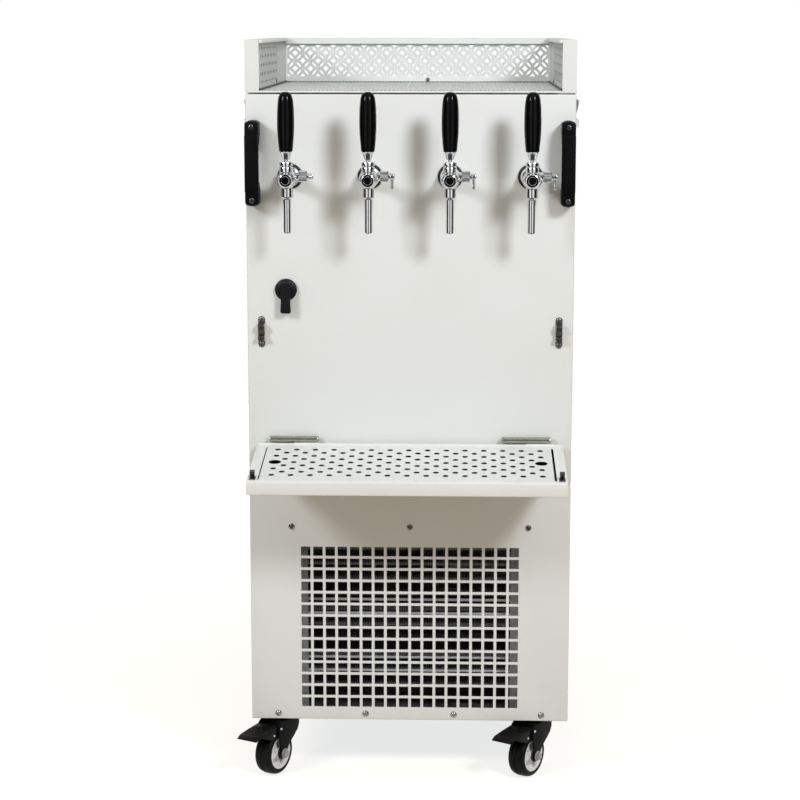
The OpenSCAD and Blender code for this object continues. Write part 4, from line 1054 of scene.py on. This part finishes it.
def axleOf(bm, king):
    spot = king @ move((0, -trail, axleUp)) @ turnSide
    addTurned(bm, [(0, 23.05), (8.6, 23.05), (9.0, 23.4), (9.0, 24.2), (0, 24.2)], spot, 28)
    addTurned(bm, [(0, 24), (7.0, 24), (7.5, 24.6), (7.5, 28.4), (6.6, 29.1), (4.4, 29.2), (4.2, 30.4), (0, 30.6)],
              spot, 6)
    addTurned(bm, [(0, -28), (6.6, -28), (7.5, -27.4), (7.5, -23.05), (0, -23.05)], spot, 6)
    addTurned(bm, pin(4.3, -23, 23), spot, 16)


def wheelOf(name, king):
    spot, body, slot = king @ move((0, -trail, axleUp)) @ turnSide, "wheel_" + name, "wheel_polyurethane"
    bm, r = bmesh.new(), axleUp
    tread = flow([(29.6, 15.6), (r - 7.2, 16.2), (r - 4.4, 15.4), (r - 2.0, 13.2), (r - 0.6, 9.4), (r, 5.4),
                  (r, 2.4)], 3)
    addTurned(bm, both(tread + [(r - 1.7, 0.9)], (1, -1)), spot, 64, loop=True)  # a groove runs round the middle
    piece("tyre_" + name, bm, treadBlack, body, [name.replace("_", "_wheel_")], crease=40)
    bm = bmesh.new()
    addTurned(bm, [(25.4, 13.0), (26.2, 14.6), (27.6, 15.4), (29.5, 15.4), (29.5, -15.4), (27.6, -15.4), (26.2, -14.6),
                   (25.4, -13.0), (24.6, -9), (24.6, 9)], spot, 56, loop=True)
    addTurned(bm, both([(4.5, 17.5), (10, 17.5), (11, 16.5), (11.4, 11)], (1, -1)), spot, 40, loop=True)
    addTurned(bm, [(11, 1.2), (25, 1.2), (25, -1.2), (11, -1.2)], spot, 40, loop=True)
    piece("rim_" + name, bm, rimNylon, body)
    spoke = bmesh.new()
    blade = [(10.5, -4.2), (15, -3.4), (20, -3.8), (25.2, -6.0)]
    addSheet(spoke, both(blade, (1, -1)), -11.5, 11.5, Matrix(), 0.9, 2)
    grow("spokes_" + name, ringField, template(spoke), {"Count": caster["spokes"]}, rimNylon, body, slot, where=spot)
    bm = bmesh.new()
    cap = [(4.6, 17.0), (12.2, 17.0), (12.4, 18.0), (11.4, 19.0), (4.6, 19.4)]
    for s in (1, -1):
        addTurned(bm, [(a, b * s) for a, b in cap], spot, 32, loop=True)
    piece("hubCaps_" + name, bm, glandNylon, body)


def rivet(r=2.6, high=1.5):
    bm = bmesh.new()
    addTurned(bm, [(0, 0), (r, 0), (r * 0.92, high * 0.5), (r * 0.6, high * 0.9), (0, high)], Matrix(), 14)
    return template(bm)


def rivetMarks(where, x, y, z):  # a pair, left and right
    return [(where @ Vector((s * x, y, z)), where.to_3x3() @ Vector((s, 0, 0)), 0.0) for s in (-1, 1)]


pedal = {"wide": 20.5, "gauge": 1.6, "ribs": 7,
         "plate": [(2, 4.4), (-6, 6.0), (-12, 6.4), (-40, 3.9), (-62, 1.9), (-67, 0.6), (-73.6, -3.2), (-73.9, -4.6),
                   (-72.6, -5.4), (-66, -2.0), (-61, -0.8), (-40, 1.2), (-12, 3.0), (-4, 1.2), (2, 0)],
         "cheek": [(-9, 4), (-63, 0), (-44, -8), (-24, -16), (-12, -15), (-9, -8)]}
for side, name in sides:
    way = joints["wheel_front_%s_spin" % name]["axis"]
    king = move((side * kingX, kingFront, 0)) @ Matrix.Rotation(math.atan2(way[1], way[0]), 4, "Z")
    bm = bmesh.new()
    forkOf(bm, king)
    piece("frontFork_" + name, bm, casterBlack, "caster_" + name, ["front_fork_" + name], crease=35)
    bm = bmesh.new()
    axleOf(bm, king)
    piece("frontAxle_" + name, bm, axleZinc, "caster_" + name, crease=24)
    heads("forkRivets_" + name, rivet(), tapChrome, "caster_" + name, "stainless",
          rivetMarks(king, 23.0, -pedalBack, pedalZ))
    wheelOf("front_" + name, king)
    bm = bmesh.new()
    spot = king @ move((0, -pedalBack, pedalZ))
    addTurned(bm, pin(2.9, -22.7, 22.7), spot @ turnSide, 20)
    addTurned(bm, pin(4, -20, 20), spot @ turnSide, 20)
    addSheet(bm, pedal["plate"], -pedal["wide"], pedal["wide"], spot @ layYz, 0.6, 2)
    for x in (-pedal["wide"], pedal["wide"] - pedal["gauge"]):
        addSheet(bm, pedal["cheek"], x, x + pedal["gauge"], spot @ layYz, 0.4, 2)
    piece("brakePedal_" + name, bm, casterBlack, "pedal_" + name, ["brake_pedal_" + name], crease=40)
    ridge = bmesh.new()
    addBlock(ridge, (-17.5, -0.9, 0), (17.5, 0.9, 1.1), 0.4, 1)
    rows("pedalRidges_" + name, template(ridge), (1, pedal["ribs"]), (0, -26, 4.7), ((1, 0, 0), (0, -5.4, -0.48)),
         casterBlack, "pedal_" + name, "black_steel", where=spot)
    heads("pedalRivets_" + name, rivet(2.3), tapChrome, "pedal_" + name, "stainless",
          rivetMarks(spot, pedal["wide"], -19, -8))

rearForks, rearAxles, marks = bmesh.new(), bmesh.new(), []
for side, name in sides:
    king = move((side * kingX, kingRear, 0)) @ Matrix.Rotation(math.pi, 4, "Z")
    forkOf(rearForks, king)
    axleOf(rearAxles, king)
    marks += rivetMarks(king, 23.0, -pedalBack, pedalZ)
    wheelOf("rear_" + name, king)
piece("rearForks", rearForks, casterBlack, "cabinet", ["rear_forks"], crease=35)
piece("rearAxles", rearAxles, axleZinc, "cabinet", crease=24)
heads("rearForkRivets", rivet(), tapChrome, "cabinet", "stainless", marks)
plateBolts = [((sx * kingX + dx, y + dy, baseZ - 3), (0, 0, -1), 0.3)
              for sx in (-1, 1) for y in (kingFront, kingRear) for dx in (-30, 30) for dy in (-23, 23)]
heads("plateBolts", domeScrew(4.6, 2.2), screwSteel, "cabinet", "screw_steel", plateBolts)
print("casters done")

# machine space: finned condenser, compressor

coil = {"halfX": 199.0, "depth": 44.0, "low": 26.0, "high": 318.0, "pitch": 3.2, "passes": 10, "tube": 4.6,
        "start": (12.0, 44.0), "step": (20.0, 28.0), "back": 62.0, "highlightHeights": (73.0, 97.5, 179.0, 204.5), "feed": 2.6,
        "plateLow": 2.6, "plateHigh": 330.0, "inner": {-1: -183.0, 1: 178.0}}
coreY = frontY + coil["back"]
fin = bmesh.new()
addBlock(fin, (-0.2, 0, coil["low"]), (0.2, coil["depth"], coil["high"]), 0)
finCount = int(2 * coil["halfX"] // coil["pitch"])
rows("condenserFins", template(fin), (finCount, 1), (-(finCount - 1) * coil["pitch"] / 2, coreY, baseZ),
     ((coil["pitch"], 0, 0), (0, 0, 1)), finBlack, "cabinet", "fin_aluminium", stands=["condenser"])
bm = bmesh.new()
for j in (0, 1):
    y = coreY + coil["start"][0] + j * coil["step"][0]
    heights = [baseZ + coil["start"][1] + i * coil["step"][1] for i in range(coil["passes"])]
    for z in heights:
        addTube(bm, [(-coil["halfX"] - 4, y, z), (coil["halfX"] + 4, y, z)], coil["tube"], 14)
    for i, z in enumerate(heights[:-1]):
        end = (1 if (i + j) % 2 else -1)
        mid = Vector((end * (coil["halfX"] + 3), y, z + 14))
        addTube(bm, [mid + Vector((end * (5.5 * math.sin(math.pi * k / 10)), 0, -14 * math.cos(math.pi * k / 10)))
                     for k in range(11)], coil["tube"], 12)
for up in coil["highlightHeights"]:  # pale pipes across the face of the fins at the heights where highlights show, painted highlight
    ends = [(x, coreY - coil["feed"], baseZ + up) for x in (-coil["halfX"], coil["halfX"])]
    addTube(bm, ends, coil["feed"], 12)
piece("condenserTubes", bm, tubeSteel, "cabinet")
bm = bmesh.new()
low, high = baseZ + coil["plateLow"], baseZ + coil["plateHigh"]
for s, inner in coil["inner"].items():
    outer = s * coil["halfX"]
    addBlock(bm, (outer - 1, coreY - 6, low), (outer + 1, coreY + 50, high), 0.3, 1)
    addBlock(bm, (min(inner, outer), coreY - 6, low), (max(inner, outer), coreY - 4.6, high), 0.3, 1)
piece("condenserPlates", bm, endPlateZinc, "cabinet")

can = {"x": 110.0, "back": 150.0, "foot": 2.5}
bm = bmesh.new()
spot = move((can["x"], backY - can["back"], baseZ + can["foot"]))
shell = flow([(60, 18.5), (72, 22), (79, 32), (80, 48), (80, 84)], 3)
dome = flow([(78.5, 92), (78, 112), (75, 134), (66, 152), (48, 166), (24, 172.6), (0, 173.8)], 4)
addTurned(bm, [(0, 18.5)] + shell + [(82.5, 85), (83, 88), (82.5, 91)] + dome, spot, 56)
for dx in (-82, 82):
    for dy in (-62, 62):
        addTurned(bm, [(0, 0.05), (11, 0.05), (11, 4), (8.5, 6), (8.5, 12), (11, 14), (11, 18), (0, 18)],
                  spot @ move((dx, dy, 0)), 24)
addBlock(bm, (-95, -73, 14.2), (95, 73, 19), 1.5, 2, spot)
addBlock(bm, (-34, -91, 70), (34, -72, 122), 4, 3, spot)  # terminal cover
discharge = ((30, 58, 120), (34, 66, 150), (34, 70, 176), (10, 72, 196), (-30, 72, 202))
addTube(bm, [spot @ Vector(p) for p in discharge], 4.2, 12)
piece("compressorCan", bm, canEnamel, "cabinet", ["compressor"])

# rear: louvres, screws, gland and gas inlet

louvre = {"rows": 9, "pitch": 22.0, "low": 150.0, "half": 70.0, "apart": 220.0}
hood = bmesh.new()
cross = [(0.0, 12.5), (1.6, 12.2), (4.6, 10.0), (6.0, 6.6), (6.0, 5.8), (5.2, 5.8), (4.0, 9.2), (1.2, 11.2),
         (0.0, 11.4)]
addSheet(hood, cross, -louvre["half"] - 2, louvre["half"] + 2, layYz, 0.0)
for s in (-1, 1):
    addBlock(hood, (s * (louvre["half"] + 1) - 1, 0, 5.8), (s * (louvre["half"] + 1) + 1, 4.4, 12), 0.3, 1)
rows("rearLouvres", template(hood), (2, louvre["rows"]), (-louvre["apart"] / 2, backY, baseZ + louvre["low"]),
     ((louvre["apart"], 0, 0), (0, 0, louvre["pitch"])), creamPaint, "cabinet", "cream_paint", crease=50)
marks = [((sx * (halfW - 9), backY, baseZ + 30 + k * 207), (0, 1, 0), 0.4 * k) for sx in (-1, 1) for k in range(6)]
heads("rearScrews", domeScrew(4.2, 2.0), screwSteel, "cabinet", "screw_steel", marks)
bm = bmesh.new()
spot = move((-180, backY, baseZ + 80)) @ turnBack
addTurned(bm, [(5, -22), (12.4, -22), (12.4, 0), (5, 0)], spot, 32, loop=True)
addTurned(bm, [(5, 0.05), (16.5, 0.05), (18, 0.8), (18, 3.2), (16.8, 4.1), (5, 4.1)], spot, 6, loop=True)
addTurned(bm, flow([(5.2, 4), (12.4, 4), (12.2, 6), (10.6, 7.6), (7.6, 8.0), (5.2, 7.8)], 3), spot, 32, loop=True)
piece("cableGland", bm, glandNylon, "cabinet", ["rear_inlets"])
bm = bmesh.new()
spot = move((180, backY, doorZ + 120)) @ turnBack
addTurned(bm, [(3, -44), (8.4, -44), (8.4, 0), (3, 0)], spot, 28, loop=True)
addTurned(bm, [(3, 0.05), (13, 0.05), (14, 0.6), (14, 2.6), (13, 3.2), (3, 3.2)], spot, 6, loop=True)
addTurned(bm, [(3, 3), (6.4, 3), (4.6, 4.4), (4.4, 5.4), (5.0, 7), (4.3, 7.3), (5.0, 9.6), (4.3, 9.9), (4.9, 12.2),
               (4.2, 13), (3, 13)], spot, 28, loop=True)
piece("gasInlet", bm, brassFitting, "cabinet")
print("machine space and rear done")

# nodes that keep their own shape

finishes = {
    creamPaint: ["side_panels", "rear_panel", "door_pivots", "toggle_bases"],
    galleryBack: ["gallery_back"],
    gallerySide: ["gallery_sides"],
    gridPaint: ["drip_grid"],
    zincSheet: ["base_pan", "machine_deck"],
    linerPlastic: ["chamber_liner", "door_liner"],
    evapAlu: ["evaporator"],
    motorZinc: ["fan_motor"],
    bladeAlu: ["fan_blade"],
    latchSteel: ["toggle_keepers", "lid_hinge_fixed", "lid_hinge_moving", "latch_cam"],
    casterBlack: ["caster_plates"],
}
for material, names in finishes.items():
    for name in names:
        for s in nodes[name].material_slots:
            s.material = material

# studio: pale floor, two softboxes, white surround

sweep = {"half": 3.6, "paint": (192, 177, 158), "near": 0.76, "far": 1.06, "start": 0.6, "end": 3.2,
         "apron": (-1.3, -0.5), "glow": (0.955, 0.985, 1.0, 1), "mirrored": (0.03, 0.03, 0.03, 1), "rough": 0.9}
bm = bmesh.new()
bmesh.ops.create_grid(bm, x_segments=1, y_segments=1, size=sweep["half"])
floorMesh = bpy.data.meshes.new("studioFloor")
bm.to_mesh(floorMesh)
bm.free()
studioFloor = bpy.data.objects.new("studioFloor", floorMesh)
scene.collection.objects.link(studioFloor)
floorPaint = bpy.data.materials.new("floorPaint")
floorPaint.use_nodes = True
tree = floorPaint.node_tree
bsdf = tree.nodes["Principled BSDF"]
bsdf.inputs["Roughness"].default_value = sweep["rough"]
path = put(tree, "ShaderNodeLightPath").outputs
paint = mixed(tree, path["Is Glossy Ray"], tint(*sweep["paint"]), sweep["mirrored"])
tree.links.new(paint, bsdf.inputs["Base Color"])
spot = coords(tree)
apron = mapped(tree, axes(tree, spot)["Y"], *sweep["apron"])  # the paper ends in front
seen = mathOf(tree, "MAXIMUM", path["Is Camera Ray"], mathOf(tree, "MULTIPLY", path["Is Glossy Ray"], apron))
seen = mathOf(tree, "MAXIMUM", seen, path["Is Transmission Ray"])
away = put(tree, "ShaderNodeVectorMath", {0: spot}, operation="LENGTH").outputs["Value"]
fade = mapped(tree, away, sweep["start"], sweep["end"], sweep["near"], sweep["far"])  # runs out into plain white
glow = put(tree, "ShaderNodeEmission", {"Color": sweep["glow"], "Strength": mathOf(tree, "MULTIPLY", seen, fade)})
both = put(tree, "ShaderNodeAddShader", {0: bsdf.outputs[0], 1: glow.outputs[0]})
tree.links.new(both.outputs[0], tree.nodes["Material Output"].inputs["Surface"])
floorMesh.materials.append(floorPaint)

surround = {"behind": (0.25, 0.5), "overhead": (0.45, 0.9, 0.0, 0.7), "inner": (0.22, 0.32, 0.12, 1.0),
            "outer": (0.95, 1.3, 1.0, 0.0), "dark": (0.02, 0.02, 0.02, 1), "white": (1, 1, 1, 1),
            "light": (0.34, 0.333, 0.302, 1)}
world = bpy.data.worlds.new("studio")
scene.world = world
world.use_nodes = True
tree = world.node_tree
path = put(tree, "ShaderNodeLightPath").outputs
direction = axes(tree, coords(tree, "Generated"))
behind = mapped(tree, direction["Y"], *surround["behind"])  # the white sweep stands behind the object
overhead = mapped(tree, direction["Z"], *surround["overhead"])
ahead = mathOf(tree, "MAXIMUM", mathOf(tree, "MULTIPLY", direction["Y"], -1.0), 0.02)
across = mathOf(tree, "DIVIDE", mathOf(tree, "ABSOLUTE", direction["X"]), ahead)
screens = mathOf(tree, "MULTIPLY", mapped(tree, across, *surround["inner"]),  # white walls left and right in front
                 mapped(tree, across, *surround["outer"]))
lit = mathOf(tree, "MAXIMUM", mathOf(tree, "MAXIMUM", behind, overhead), screens)
room = mixed(tree, lit, surround["dark"], surround["white"])
white = mathOf(tree, "MAXIMUM", path["Is Camera Ray"], path["Is Transmission Ray"])
shown = mixed(tree, white, mixed(tree, path["Is Glossy Ray"], surround["light"], room), surround["white"])
tree.links.new(shown, tree.nodes["Background"].inputs["Color"])

studio = {"target": (0, -0.15, 0.85), "colour": (0.97, 1.0, 1.085), "far": 4.0,
          "boxes": {"right": ((0.65, -1.0, 0.70), 79.2, 0.75), "left": ((-1.0, -1.0, 0.70), 57.9, 0.85)}}
target = Vector(studio["target"])
for name, (way, power, wide) in studio["boxes"].items():
    lamp = bpy.data.lights.new("softbox_" + name, "AREA")
    lamp.energy = power
    lamp.color = studio["colour"]
    lamp.size = wide
    box = bpy.data.objects.new("softbox_" + name, lamp)
    scene.collection.objects.link(box)
    box.location = target + Vector(way).normalized() * studio["far"]
    box.rotation_euler = (box.location - target).to_track_quat("Z", "Y").to_euler()

view = {"place": (0.08943, -3.80623, 1.31946), "yaw": 0.02942, "pitch": 0.17382, "roll": 0.00049, "focus": 2129.19,
        "sensor": 36, "frame": 800, "reach": 100}
cy, sy, cp, sp = math.cos(view["yaw"]), math.sin(view["yaw"]), math.cos(view["pitch"]), math.sin(view["pitch"])
ahead, right = Vector((-sy * cp, cy * cp, -sp)), Vector((cy, sy, 0))
up = right.cross(ahead)
cr, sr = math.cos(view["roll"]), math.sin(view["roll"])
right, up = right * cr + up * sr, up * cr - right * sr
lens = bpy.data.cameras.new("camera")
lens.sensor_width = view["sensor"]
lens.lens = view["sensor"] * view["focus"] / view["frame"]
lens.clip_end = view["reach"]
camera = bpy.data.objects.new("camera", lens)
scene.collection.objects.link(camera)
camera.matrix_world = Matrix([(right[k], up[k], -ahead[k], view["place"][k]) for k in range(3)] + [(0, 0, 0, 1)])
scene.camera = camera
print("studio ready")
